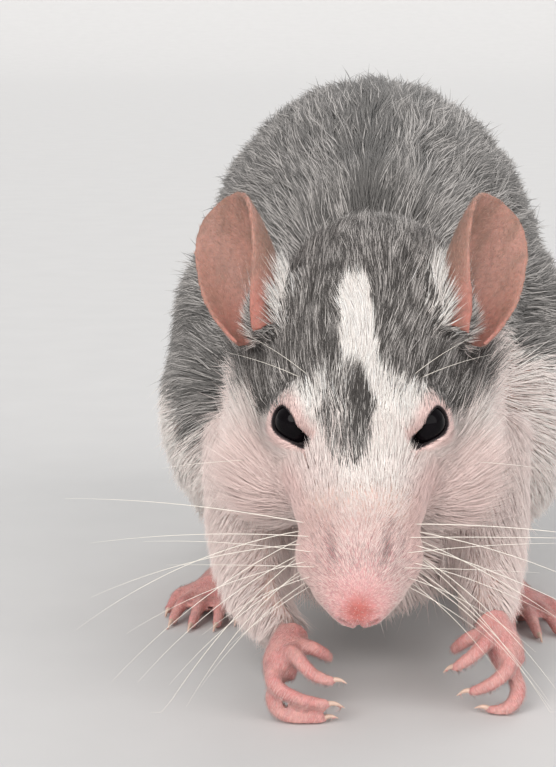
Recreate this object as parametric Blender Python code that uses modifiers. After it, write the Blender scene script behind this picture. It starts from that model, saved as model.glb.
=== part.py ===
"""A life-size still model of a pet rat, crouched over its forepaws.

The rat faces -Y with +Z up. Every length is written in millimetres and scaled by MM,
so the model is in metres. The body is modelled whole from soft forms and then parted
into its sub-parts by thin gaps.
"""
import math

import bmesh
import bpy
import numpy as np
from mathutils import Euler, Matrix, Vector

MM = 0.001

# Gaps and surface detail
GAP = 0.3
BODY_VOXEL = 0.7
FOOT_VOXEL = 0.32
BODY_SMOOTHING = 14
FOOT_SMOOTHING = 3
LEAST_EDGE = 0.02

# Head, in its own frame: the origin is midway between the eyes, the nose points to -Y, the crown to +Z
HEAD_PITCH = math.radians(55)
EYE_MIDDLE = Vector((0, 8, 41))
EYE_SPOT = (8.8, 0.2, 0.2)
EYE_RADIUS = 3.2
LID_THICKNESS = 0.7
GAZE = Vector((0.732, -0.124, 0.67)).normalized()
CANTHUS_WAY = Vector((-0.381, -0.891, 0.242))
LID_OPENING = (2.65, 2.1)
CANTHUS_REACH = 1.15
LID_OPENING_START = 1.3
NOSE_TIP = -27.6
MUZZLE_PLANE = -10.5
HEAD_FORMS = (
    ("cranium", (0, 12, -3), (13.3, 18.5, 12)),
    ("face", (0, -4, -3.6), (10.6, 16, 9.2)),
    ("muzzle form", (0, -15, -4.8), (7.3, 11.8, 6.8)),
    ("nose pad", (0, -24.6, -4.9), (4.7, 3.5, 3.3)),
    ("snout", (0, -21.6, -5.4), (6.9, 5, 4.7)),
    ("jaw", (0, -7.5, -11.2), (6.2, 12.5, 4.4)),
    ("throat", (0, 8, -12), (11, 14, 8)),
)
PAIRED_HEAD_FORMS = (
    ("whisker pad", (4.5, -16.9, -6.1), (4.5, 5.8, 4.6)),
    ("jowl", (8.6, -1.2, -11.4), (8.4, 9.4, 7.6)),
    ("cheek", (7.5, 6, -7.5), (8.4, 13.5, 8.6)),
    ("brow", (7.6, 0.6, 0.4), (3.7, 5.4, 4.5)),
    ("ear root", (11.2, 17, 0.5), (4.6, 5.2, 6)),
)
JAW_REGION = ((0, -13.5, -18.4), (9.5, 14.5, 8.6))
PHILTRUM = ((0, -26.4, -8), (0.32, 2.2, 2.9))
NOSTRIL = ((1.6, -27, -5), (0.6, 1.5, 0.85))
NOSTRIL_TURN = (0.3, 0, 0.5)
NOSTRIL_SLIT = ((2.4, -26.3, -4.4), (0.9, 1.1, 0.34))
NOSTRIL_SLIT_TURN = (0, -0.4, 0.3)

# Ears, each on an axis from its base to its tip
EAR_BASE = Vector((11.4, 16.6, 53.0))
EAR_TIP = Vector((19.0, 23.6, 72.2))
EAR_OPENS = Vector((0.80, -0.60, 0.1))
EAR_THICKNESS = 0.8
EAR_HOLLOW = 1.6
EAR_SKEW = 0.16
EAR_ROWS = 12
EAR_COLUMNS = 10
EAR_STEPS = (0, 0.2, 0.45, 0.7, 0.85, 0.95, 1)
EAR_CURVE_RADII = (3.6, 5.2, 6.9, 7.5, 7.4, 7.2, 7.0)
EAR_HALF_ANGLES = (150, 122, 96, 76, 60, 38, 12)

# Trunk: place along the rat, height of the middle and half height at each station of the spine
SPINE = (
    (14, 47, 13), (26, 49.6, 19.4), (39, 46.5, 20.2), (58, 48.5, 28.5), (78, 50, 35), (95, 50, 38),
    (110, 48, 37), (121, 44.5, 31), (129, 40, 22), (133, 37, 12),
)
TRUNK_WIDTH_SHARE = 0.82
TRUNK_MIDDLE = 1.9
TRUNK_FORMS = (
    ("belly", (1.9, 84, 31), (24, 42, 22)),
    ("rump", (1.9, 118, 35), (26, 28, 29)),
    ("flanks", (1.9, 88, 43.5), (35.2, 36, 29)),
    ("ruff", (0.5, 30, 42), (20.5, 17, 20)),
    ("chest", (1, 40, 32), (19, 22, 15)),
    ("brisket", (1.2, 40, 20), (15, 22.5, 14)),
)
HAUNCH = ((18.5, 82, 31.5), (18.3, 32, 22.5))
THIGH_REGION = ((36.5, 81, 27), (17.5, 31, 27))

# Cuts between the body's parts, each a point and the way it faces
HEAD_CUT = ((0, 22, 47), (0, 0.928, -0.371))
NECK_CUT = ((0, 36, 48), (0, 0.857, -0.514))

# Tail, along the floor
TAIL_STATIONS = (
    (1.9, 138, 17, 6.2), (1.9, 150, 8.8, 5.0), (2.5, 162, 4.3, 4.6), (4.0, 185, 3.5, 4.0),
    (5.6, 210, 3.1, 3.5), (5.4, 238, 2.7, 3.0), (3.0, 265, 2.25, 2.5), (-0.5, 290, 1.8, 2.0),
    (-4.0, 312, 1.35, 1.5), (-6.5, 328, 0.85, 1.0),
)
TAIL_PLANES = (148, 205, 268)

# Forepaws: each digit's stations run from the knuckle to the tip, where its claw begins
RIGHT_SIDE_PALM = (
    (-9.2, 11.5, 10.6, 3.0), (-9.9, 8.1, 9.6, 2.7), (-10.9, 5.3, 7.4, 2.9), (-11.3, 4.2, 5.2, 2.4),
)
RIGHT_SIDE_DIGITS = (
    ((-9.6, 3.9, 9.8, 1.35), (-8.3, 1.2, 8.9, 1.25), (-6.1, 0.0, 7.0, 1.12), (-3.9, 0.1, 6.2, 0.95)),
    ((-11.7, 3.7, 7.6, 1.4), (-11.9, 0.8, 5.7, 1.3), (-8.7, -0.7, 4.0, 1.15), (-4.6, -0.4, 3.0, 0.95)),
    ((-11.9, 3.9, 4.2, 1.4), (-11.6, 1.5, 2.0, 1.3), (-8.6, 0.2, 0.75, 1.15), (-5.2, 0.4, 0.6, 0.95)),
    ((-8.9, 6.1, 9.8, 1.3), (-6.7, 4.9, 9.7, 1.25), (-5.0, 5.3, 8.7, 1.12), (-4.2, 6.5, 7.8, 0.95)),
)
RIGHT_SIDE_CLAWS = (
    (-1.6, 0.7, 5.7), (-1.9, 0.2, 2.3), (-2.8, 0.9, 0.6), (-3.9, 8.1, 6.6),
)
LEFT_SIDE_PALM = (
    (18.5, 15.5, 12.3, 3.0), (19.6, 12.5, 10.6, 2.7), (21.0, 10.1, 8.2, 2.8), (21.8, 9.1, 5.8, 2.4),
)
LEFT_SIDE_DIGITS = (
    ((18.6, 8.7, 10.6, 1.35), (17.4, 6.1, 9.7, 1.25), (15.3, 5.1, 8.0, 1.12), (13.8, 5.3, 6.9, 0.95)),
    ((21.1, 8.5, 8.6, 1.4), (21.1, 5.8, 6.7, 1.3), (18.6, 4.7, 4.6, 1.15), (16.2, 5.0, 3.5, 0.95)),
    ((22.2, 8.7, 5.0, 1.4), (22.6, 6.3, 2.7, 1.3), (20.8, 5.3, 0.8, 1.15), (18.8, 5.6, 0.6, 0.95)),
    ((17.8, 10.7, 10.4, 1.3), (15.8, 9.7, 9.9, 1.25), (14.5, 10.3, 8.8, 1.12), (13.8, 11.5, 7.8, 0.95)),
)
LEFT_SIDE_CLAWS = (
    (12.0, 6.0, 5.9), (13.9, 5.7, 2.6), (16.5, 6.1, 0.7), (13.6, 13.1, 6.8),
)
WRIST_LENGTH = 1.9

# Forelegs from the shoulder to the wrist, each station with its radius
FORELEG_RIGHT_SIDE = (
    (-13.5, 40, 36, 10.5), (-15.2, 31, 22, 8.0), (-14.6, 22, 15.0, 5.6), (-12.0, 15.0, 11.9, 4.0),
    (-9.2, 11.5, 10.6, 3.1),
)
FORELEG_LEFT_SIDE = (
    (15.0, 40, 36, 11.0), (17.6, 33, 22, 8.2), (18.5, 26, 16.2, 5.8), (18.7, 19.5, 13.3, 4.0),
    (18.5, 15.5, 12.3, 3.1),
)

# Hind feet, each in its own frame: the heel is the origin and the toes point to -Y
HEEL_RIGHT_SIDE = (-19.0, 89, 0)
HEEL_LEFT_SIDE = (20.5, 85, 0)
FOOT_TURN = math.radians(11.5)
FOOT_STATIONS = (
    (0.0, 1.5, 3.0, 3.2), (0.0, -6, 3.0, 3.3), (0.2, -14, 3.0, 3.3), (0.2, -22, 2.9, 3.5),
    (0.2, -27, 2.6, 3.4),
)
BALL_OF_FOOT = ((0.2, -26, 2.3), (5.0, 5.4, 2.8))
SHANK_STATIONS = ((0, 1, 5.5, 4.2), (1, -7, 13, 7), (2, -16, 20, 9))
TOES = (
    ((-4.0, -25.0), (-5.6, -30.5), (-6.4, -34.5)), ((-2.2, -27.5), (-3.3, -34.0), (-3.9, -38.6)),
    ((0.1, -28.0), (0.0, -35.2), (0.0, -39.8)), ((2.3, -27.5), (3.2, -34.0), (3.7, -38.2)),
    ((4.0, -24.0), (5.4, -28.0), (6.2, -31.4)),
)
TOE_RADII = (1.45, 1.25, 1.0)
TOE_HEIGHTS = (2.3, 2.6, 0.85)
TOE_CLAW = (0.0, -2.6, -0.75)
CLAW_RADIUS = 0.42
CLAW_TIP_RADIUS = 0.12
CLAW_ARCH = 0.35
JOINT_SWELLING = 1.04

# Triangles kept on each stretch of the model
TRUNK_TRIANGLES = 2900
TAIL_BASE_TRIANGLES = 300
HEAD_TRIANGLES = 2400
FOREPAW_TRIANGLES = 700
HIND_FOOT_TRIANGLES = 520

COLOURS = {
    "grey_coat": ((0.28, 0.27, 0.26), 0.85),
    "white_coat": ((0.82, 0.78, 0.73), 0.85),
    "pink_skin": ((0.80, 0.45, 0.40), 0.55),
    "ear_skin": ((0.78, 0.43, 0.36), 0.6),
    "eye": ((0.012, 0.010, 0.012), 0.08),
    "tail_skin": ((0.66, 0.42, 0.38), 0.65),
}


def clear_scene():
    """Removes every object that the file starts with."""
    for obj in list(bpy.data.objects):
        bpy.data.objects.remove(obj, do_unlink=True)


def new_collection(name):
    collection = bpy.data.collections.new(name)
    bpy.context.scene.collection.children.link(collection)
    return collection


def make_materials():
    made = {}
    for name, (colour, roughness) in COLOURS.items():
        material = bpy.data.materials.new(name)
        material.use_nodes = True
        shader = material.node_tree.nodes["Principled BSDF"]
        shader.inputs["Base Color"].default_value = (*colour, 1)
        shader.inputs["Roughness"].default_value = roughness
        shader.inputs["Metallic"].default_value = 0
        material.diffuse_color = (*colour, 1)
        made[name] = material
    return made


def new_object(name, mesh, collection):
    obj = bpy.data.objects.new(name, mesh)
    collection.objects.link(obj)
    return obj


def settle(obj):
    """Turns the object's modifiers into its own mesh."""
    graph = bpy.context.evaluated_depsgraph_get()
    mesh = bpy.data.meshes.new_from_object(obj.evaluated_get(graph))
    old = obj.data
    obj.modifiers.clear()
    obj.data = mesh
    bpy.data.meshes.remove(old)
    return obj


def ball(name, centre, radii, collection, turn=(0, 0, 0), sides=32):
    """An ellipsoid from its centre and its three radii in millimetres."""
    bpy.ops.mesh.primitive_uv_sphere_add(segments=sides, ring_count=sides // 2, radius=1)
    obj = bpy.context.object
    obj.name = name
    for holder in list(obj.users_collection):
        holder.objects.unlink(obj)
    collection.objects.link(obj)
    scale = Matrix.Diagonal((*radii, 1))
    rotation = Euler(turn).to_matrix().to_4x4()
    obj.data.transform(Matrix.Scale(MM, 4) @ Matrix.Translation(centre) @ rotation @ scale)
    return obj


def tube(name, stations, collection, width_share=1.0, fineness=4):
    """A round tube through stations of x, y, z and radius, made from a curve."""
    curve = bpy.data.curves.new(name, "CURVE")
    curve.dimensions = "3D"
    curve.bevel_depth = MM
    curve.bevel_resolution = fineness
    curve.resolution_u = max(1, 2 * fineness - 1)
    curve.use_fill_caps = True
    spline = curve.splines.new("BEZIER")
    spline.bezier_points.add(len(stations) - 1)
    for point, (x, y, z, radius) in zip(spline.bezier_points, stations):
        point.co = Vector((x, y, z)) * MM
        point.radius = radius
        point.handle_left_type = "AUTO"
        point.handle_right_type = "AUTO"
    guide = new_object(name, curve, collection)
    graph = bpy.context.evaluated_depsgraph_get()
    mesh = bpy.data.meshes.new_from_object(guide.evaluated_get(graph))
    bpy.data.objects.remove(guide, do_unlink=True)
    bpy.data.curves.remove(curve)
    shape = bmesh.new()
    shape.from_mesh(mesh)
    bmesh.ops.remove_doubles(shape, verts=shape.verts, dist=LEAST_EDGE * MM)
    middle = stations[0][0] * MM
    for vertex in shape.verts:
        vertex.co.x = middle + (vertex.co.x - middle) * width_share
    bmesh.ops.recalc_face_normals(shape, faces=shape.faces)
    shape.to_mesh(mesh)
    shape.free()
    return new_object(name, mesh, collection)


def joined(name, pieces, collection):
    """One object that holds the meshes of all the pieces."""
    shape = bmesh.new()
    for piece in pieces:
        shape.from_mesh(piece.data)
        bpy.data.objects.remove(piece, do_unlink=True)
    mesh = bpy.data.meshes.new(name)
    shape.to_mesh(mesh)
    shape.free()
    return new_object(name, mesh, collection)


def keep_largest(obj):
    """Leaves only the largest closed surface, so that no crumb stays beside it."""
    shape = bmesh.new()
    shape.from_mesh(obj.data)
    shape.faces.ensure_lookup_table()
    unseen = set(shape.faces)
    groups = []
    while unseen:
        start = unseen.pop()
        group = [start]
        for face in group:
            for edge in face.edges:
                for other in edge.link_faces:
                    if other in unseen:
                        unseen.remove(other)
                        group.append(other)
        groups.append(group)
    largest = max(groups, key=lambda group: sum(face.calc_area() for face in group))
    spare = [face for group in groups if group is not largest for face in group]
    bmesh.ops.delete(shape, geom=spare, context="FACES")
    shape.to_mesh(obj.data)
    shape.free()
    return obj


def blended(name, pieces, voxel, smoothing, collection):
    """Fuses overlapping forms into one soft closed surface."""
    obj = joined(name, pieces, collection)
    remesh = obj.modifiers.new("fuse", "REMESH")
    remesh.mode = "VOXEL"
    remesh.voxel_size = voxel * MM
    smooth = obj.modifiers.new("soften", "SMOOTH")
    smooth.factor = 0.5
    smooth.iterations = smoothing
    return keep_largest(settle(obj))


def thin_out(obj, triangles):
    """Keeps about this many triangles."""
    now = sum(len(face.vertices) - 2 for face in obj.data.polygons)
    if now > triangles:
        decimate = obj.modifiers.new("thin out", "DECIMATE")
        decimate.ratio = triangles / now
        decimate.use_collapse_triangulate = True
        settle(obj)
    return obj


def triangulated(obj):
    shape = bmesh.new()
    shape.from_mesh(obj.data)
    bmesh.ops.triangulate(shape, faces=shape.faces)
    shape.to_mesh(obj.data)
    shape.free()
    return obj


def copy_of(obj, name, collection):
    return new_object(name, obj.data.copy(), collection)


def beyond_plane(obj, point, normal, name, collection):
    """A copy of what lies on the side of the plane that its normal points to, closed across the cut."""
    part = copy_of(obj, name, collection)
    shape = bmesh.new()
    shape.from_mesh(part.data)
    cut = bmesh.ops.bisect_plane(
        shape, geom=shape.verts[:] + shape.edges[:] + shape.faces[:], dist=1e-7,
        plane_co=Vector(point) * MM, plane_no=Vector(normal), clear_inner=True,
    )
    rim = [item for item in cut["geom_cut"] if isinstance(item, bmesh.types.BMEdge)]
    made = bmesh.ops.holes_fill(shape, edges=rim, sides=0)
    bmesh.ops.triangulate(shape, faces=made["faces"])
    bmesh.ops.recalc_face_normals(shape, faces=shape.faces)
    shape.to_mesh(part.data)
    shape.free()
    return keep_largest(part)


def parted(obj, point, normal, names, collection):
    """Two parts of an object, GAP apart: the one behind a plane and the one beyond it."""
    way = Vector(normal).normalized()
    step = way * GAP / 2
    behind = beyond_plane(obj, Vector(point) - step, -way, names[0], collection)
    beyond = beyond_plane(obj, Vector(point) + step, way, names[1], collection)
    bpy.data.objects.remove(obj, do_unlink=True)
    return behind, beyond


def grown(obj, name, collection, margin=GAP):
    """A copy of the object, larger by a margin all round."""
    part = copy_of(obj, name, collection)
    displace = part.modifiers.new("grow", "DISPLACE")
    displace.strength = margin * MM
    displace.mid_level = 0
    return settle(part)


def combine(obj, others, operation, solver="EXACT"):
    """A Boolean with one or more other closed objects."""
    for other in others:
        boolean = obj.modifiers.new(operation.lower(), "BOOLEAN")
        boolean.operation = operation
        boolean.solver = solver
        boolean.object = other
    settle(obj)
    return keep_largest(obj)


def turn_head(obj):
    """Brings a piece modelled in the head's own frame to its place on the body."""
    place = Matrix.Translation(EYE_MIDDLE * MM) @ Matrix.Rotation(HEAD_PITCH, 4, "X")
    obj.data.transform(place)
    return obj


def in_place(local):
    """A point of the head's own frame, in the body's frame, both in millimetres."""
    return EYE_MIDDLE + Matrix.Rotation(HEAD_PITCH, 3, "X") @ Vector(local)


def head_forms(collection):
    """The soft forms of the skull, face, cheeks, muzzle and jaw."""
    forms = [ball(name, centre, radii, collection) for name, centre, radii in HEAD_FORMS]
    for side in (-1, 1):
        for name, (x, y, z), radii in PAIRED_HEAD_FORMS:
            forms.append(ball(name, (x * side, y, z), radii, collection))
    return [turn_head(form) for form in forms]


def trunk_forms(collection):
    """The soft forms of the back, belly, haunches, shoulders and the root of the tail."""
    spine = [(TRUNK_MIDDLE, y, z, half) for y, z, half in SPINE]
    forms = [ball(name, centre, radii, collection) for name, centre, radii in TRUNK_FORMS]
    forms += [
        tube("spine", spine, collection, width_share=TRUNK_WIDTH_SHARE, fineness=8),
        tube("tail root", TAIL_STATIONS[:5], collection, fineness=5),
        tube("foreleg a", FORELEG_RIGHT_SIDE, collection, fineness=6),
        tube("foreleg b", FORELEG_LEFT_SIDE, collection, fineness=6),
    ]
    (out, y, z), radii = HAUNCH
    for side, heel in ((-1, HEEL_RIGHT_SIDE), (1, HEEL_LEFT_SIDE)):
        forms.append(ball("haunch", (TRUNK_MIDDLE + out * side, y, z), radii, collection))
        shank = [
            (heel[0] + inward * side, heel[1] + along, height, radius)
            for inward, along, height, radius in SHANK_STATIONS
        ]
        forms.append(tube("shank", shank, collection, fineness=6))
    return forms


def gaze(side):
    return Vector((GAZE.x * side, GAZE.y, GAZE.z))


def eye_centre(side):
    return Vector((EYE_SPOT[0] * side, *EYE_SPOT[1:]))


def lid_opening(side, collection):
    """An almond-shaped column along the gaze, pointed at the front corner of the eye."""
    way = gaze(side)
    long_way = Vector((CANTHUS_WAY.x * side, CANTHUS_WAY.y, CANTHUS_WAY.z))
    long_way = (long_way - long_way.dot(way) * way).normalized()
    short_way = way.cross(long_way)
    steps = 20
    shape = bmesh.new()
    bmesh.ops.create_cone(
        shape, cap_ends=True, segments=steps, radius1=1, radius2=1, depth=2 * EYE_RADIUS,
    )
    for vertex in shape.verts:
        angle = math.atan2(vertex.co.y, vertex.co.x)
        stretch = 1 + CANTHUS_REACH / LID_OPENING[0] * max(0, math.cos(angle)) ** 6
        along = math.cos(angle) * LID_OPENING[0] * stretch
        across = math.sin(angle) * LID_OPENING[1]
        flare = 1 if vertex.co.z < 0 else 1.25
        place = eye_centre(side) + way * (vertex.co.z + LID_OPENING_START * EYE_RADIUS)
        vertex.co = (place + flare * (long_way * along + short_way * across)) * MM
    bmesh.ops.recalc_face_normals(shape, faces=shape.faces)
    mesh = bpy.data.meshes.new("lid opening")
    shape.to_mesh(mesh)
    shape.free()
    return turn_head(new_object("lid opening", mesh, collection))


def head_ball(name, centre, radii, collection, sides=16, turn=(0, 0, 0)):
    return turn_head(ball(name, centre, radii, collection, turn=turn, sides=sides))


def set_eyes(head, collection):
    """Cuts each socket and gives it lids that close in over the eye. Returns the eyes."""
    eyes = []
    for side, name in ((-1, "eye_right"), (1, "eye_left")):
        centre = eye_centre(side)
        lid = head_ball("lid", centre, [EYE_RADIUS + GAP + LID_THICKNESS] * 3, collection, sides=16)
        socket = head_ball("socket", centre, [EYE_RADIUS + GAP] * 3, collection, sides=14)
        opening = lid_opening(side, collection)
        combine(head, [lid], "UNION")
        combine(head, [socket, opening], "DIFFERENCE")
        eyes.append(head_ball(name, centre, [EYE_RADIUS] * 3, collection, sides=18))
    return eyes


def ear(name, side, collection):
    """A cupped leaf of arcs across the ear, tight at its root, wide near its tip, and thickened."""
    base = Vector((EAR_BASE.x * side, EAR_BASE.y, EAR_BASE.z))
    tip = Vector((EAR_TIP.x * side, EAR_TIP.y, EAR_TIP.z))
    axis = (tip - base).normalized()
    opens = Vector((EAR_OPENS.x * side, EAR_OPENS.y, EAR_OPENS.z))
    opens = (opens - opens.dot(axis) * axis).normalized()
    across = axis.cross(opens)
    length = (tip - base).length
    shape = bmesh.new()
    bmesh.ops.create_grid(shape, x_segments=EAR_COLUMNS, y_segments=EAR_ROWS, size=1)
    for vertex in shape.verts:
        share = (vertex.co.y + 1) / 2
        height = math.sin(share * math.pi / 2)
        radius = float(np.interp(height, EAR_STEPS, EAR_CURVE_RADII))
        half_angle = math.radians(float(np.interp(height, EAR_STEPS, EAR_HALF_ANGLES)))
        angle = vertex.co.x * half_angle
        depth = radius * (1 - math.cos(angle)) - EAR_HOLLOW * math.sin(math.pi * height)
        rise = length * height + EAR_SKEW * radius * math.sin(angle) * height * side
        vertex.co = (base + axis * rise + across * radius * math.sin(angle) + opens * depth) * MM
    mesh = bpy.data.meshes.new(name)
    shape.to_mesh(mesh)
    shape.free()
    obj = new_object(name, mesh, collection)
    solidify = obj.modifiers.new("thickness", "SOLIDIFY")
    solidify.thickness = EAR_THICKNESS * MM
    solidify.offset = 0
    return settle(obj)


def claw(root, tip, collection):
    """A curved horn from the tip of a digit, bent a little downwards."""
    start = Vector(root)
    end = Vector(tip)
    middle = (start + end) / 2 + Vector((0, 0, CLAW_ARCH))
    stations = (
        (*start, CLAW_RADIUS), (*middle, 0.75 * CLAW_RADIUS), (*end, CLAW_TIP_RADIUS),
    )
    return tube("claw", stations, collection, fineness=1)


def forepaw(name, palm, digits, claws, collection):
    """A gripping paw: the palm, four digits and their claws as one closed body."""
    forms = [tube("palm", palm, collection, fineness=5)]
    for stations in digits:
        forms.append(tube("digit", stations, collection, fineness=4))
        for x, y, z, radius in stations[1:]:
            forms.append(ball("joint", (x, y, z), [radius * JOINT_SWELLING] * 3, collection, sides=16))
    paw = blended(name, forms, FOOT_VOXEL, FOOT_SMOOTHING, collection)
    thin_out(paw, FOREPAW_TRIANGLES)
    horns = []
    for stations, tip in zip(digits, claws):
        root = Vector(stations[-1][:3])
        inner = root + (Vector(stations[-2][:3]) - root) * 0.1
        horns.append(claw(inner, tip, collection))
    combine(paw, horns, "UNION")
    remove(horns)
    return paw


def hind_foot(name, heel, side, collection):
    """A long foot with five toes and their claws, turned outwards on its heel."""
    forms = [
        tube("sole", FOOT_STATIONS, collection, fineness=5),
        ball("ball of the foot", *BALL_OF_FOOT, collection),
    ]
    roots = []
    for marks in TOES:
        stations = [(x, y, z, radius) for (x, y), z, radius in zip(marks, TOE_HEIGHTS, TOE_RADII)]
        forms.append(tube("toe", stations, collection, fineness=4))
        for x, y, z, radius in stations[1:]:
            forms.append(ball("joint", (x, y, z), [radius * JOINT_SWELLING] * 3, collection, sides=16))
        roots.append(Vector(stations[-1][:3]))
    foot = blended(name, forms, FOOT_VOXEL, FOOT_SMOOTHING, collection)
    thin_out(foot, HIND_FOOT_TRIANGLES)
    horns = [claw(root, root + Vector(TOE_CLAW), collection) for root in roots]
    combine(foot, horns, "UNION")
    remove(horns)
    foot.data.transform(foot_place(heel, side) @ Matrix.Scale(side, 4, (1, 0, 0)))
    if side < 0:
        foot.data.flip_normals()
    return foot


def foot_place(heel, side):
    return Matrix.Translation(Vector(heel) * MM) @ Matrix.Rotation(FOOT_TURN * side, 4, "Z")


def heel_room(heel, side, collection):
    """The space that a hind foot needs under the haunch, a gap wider than the sole."""
    stations = [(x, y, z, radius + 2 * GAP) for x, y, z, radius in FOOT_STATIONS]
    first = stations[0]
    stations.insert(0, (first[0], first[1] + 3 * GAP, first[2], first[3]))
    room = tube("heel room", stations, collection, fineness=2)
    room.data.transform(foot_place(heel, side))
    return room


def remove(objects):
    for obj in objects:
        bpy.data.objects.remove(obj, do_unlink=True)


def on_floor(obj, collection):
    """Cuts a small flat at floor level under a piece that rests there."""
    flat = beyond_plane(obj, (0, 0, 0), (0, 0, 1), obj.name + " flat", collection)
    name = obj.name
    bpy.data.objects.remove(obj, do_unlink=True)
    flat.name = name
    return flat


def tail_lengths(collection):
    """The tail's later lengths, each cut square across."""
    whole = tube("tail", TAIL_STATIONS[2:], collection, fineness=3)
    root, rest = parted(whole, (0, TAIL_PLANES[1], 0), (0, 1, 0), ("spare", "rest"), collection)
    middle, tip = parted(rest, (0, TAIL_PLANES[2], 0), (0, 1, 0), ("tail_middle", "tail_tip"), collection)
    remove([root])
    return [middle, tip]


def region_parted(whole, region, name, collection):
    """Takes what lies in a region out of the whole as a part of its own, GAP away from the rest."""
    part = copy_of(whole, name, collection)
    combine(part, [region], "INTERSECT")
    wider = grown(region, "wider region", collection)
    combine(whole, [wider], "DIFFERENCE")
    remove([wider, region])
    return part


def wrist_cut(foreleg, palm, name, collection):
    """Ends a foreleg square to the wrist, where the paw begins."""
    wrist = Vector(palm[0][:3])
    way = (Vector(palm[1][:3]) - wrist).normalized()
    point = wrist + way * (WRIST_LENGTH - GAP / 2)
    cut = beyond_plane(foreleg, point, -way, name, collection)
    bpy.data.objects.remove(foreleg, do_unlink=True)
    return cut


def paw_cut(paw, palm, name, collection):
    """Starts a paw square to the wrist."""
    wrist = Vector(palm[0][:3])
    way = (Vector(palm[1][:3]) - wrist).normalized()
    point = wrist + way * (WRIST_LENGTH + GAP / 2)
    cut = beyond_plane(paw, point, way, name, collection)
    bpy.data.objects.remove(paw, do_unlink=True)
    return cut


def build_forelegs(trunk, collection):
    """Parts each foreleg from the trunk along a wider sleeve round it."""
    legs = []
    for name, stations in (("foreleg_right", FORELEG_RIGHT_SIDE), ("foreleg_left", FORELEG_LEFT_SIDE)):
        out = 1 if stations[0][0] > 0 else -1
        sleeve_stations = [
            (x + 2.5 * out, y - 1.5, z - 0.5, radius + 1.6) for x, y, z, radius in stations
        ]
        last = Vector(stations[-1][:3])
        way = (last - Vector(stations[-2][:3])).normalized()
        sleeve_stations.append((*(last + way * 8), stations[-1][3] + 2.5))
        sleeve = tube("sleeve", sleeve_stations, collection, fineness=3)
        legs.append(region_parted(trunk, sleeve, name, collection))
    return legs


def build_thighs(trunk, collection):
    """Parts each thigh from the trunk along a rounded gap."""
    thighs = []
    (out, y, z), radii = THIGH_REGION
    for name, side in (("thigh_right", -1), ("thigh_left", 1)):
        region = ball("thigh region", (TRUNK_MIDDLE + out * side, y, z), radii, collection, sides=22)
        thighs.append(region_parted(trunk, region, name, collection))
    return thighs


def face_cut(name, form, side, collection, turn=(0, 0, 0)):
    """A small round cutter on one side of the nose."""
    (x, y, z), radii = form
    turned = (turn[0], turn[1] * side, turn[2] * side)
    return head_ball(name, (x * side, y, z), radii, collection, sides=14, turn=turned)


def build_face(head, collection):
    """Parts the muzzle and the lower jaw from the head and cuts the nostrils and lips."""
    jaw_region = head_ball("jaw region", *JAW_REGION, collection, sides=24)
    lower_jaw = region_parted(head, jaw_region, "lower_jaw", collection)
    point = in_place((0, MUZZLE_PLANE, 0))
    forward = in_place((0, MUZZLE_PLANE - 1, 0)) - point
    rear, muzzle = parted(head, point, forward, ("head", "muzzle"), collection)
    cuts = [face_cut("philtrum", PHILTRUM, 1, collection)]
    for side in (-1, 1):
        cuts.append(face_cut("nostril", NOSTRIL, side, collection, NOSTRIL_TURN))
        cuts.append(face_cut("nostril slit", NOSTRIL_SLIT, side, collection, NOSTRIL_SLIT_TURN))
    for cut in cuts:
        combine(muzzle, [cut], "DIFFERENCE")
    remove(cuts)
    return rear, muzzle, lower_jaw


def paint(parts, materials):
    slots = {
        "grey_coat": ("head", "neck", "torso"),
        "white_coat": ("muzzle", "lower_jaw", "foreleg_left", "foreleg_right", "thigh_left", "thigh_right"),
        "pink_skin": ("forepaw_left", "forepaw_right", "hind_foot_left", "hind_foot_right"),
        "ear_skin": ("ear_left", "ear_right"),
        "eye": ("eye_left", "eye_right"),
        "tail_skin": ("tail_base", "tail_middle", "tail_tip"),
    }
    for slot, names in slots.items():
        for name in names:
            mesh = parts[name].data
            mesh.materials.clear()
            mesh.materials.append(materials[slot])
            mesh.shade_smooth()


def centre_on_origin(parts):
    """Moves the whole rat so that the middle of its underside lies on the origin."""
    corners = np.array([
        tuple(vertex.co) for obj in parts.values() for vertex in obj.data.vertices
    ])
    low = corners.min(axis=0)
    high = corners.max(axis=0)
    shift = Vector((-(low[0] + high[0]) / 2, -(low[1] + high[1]) / 2, -low[2]))
    for obj in parts.values():
        obj.data.transform(Matrix.Translation(shift))


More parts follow.
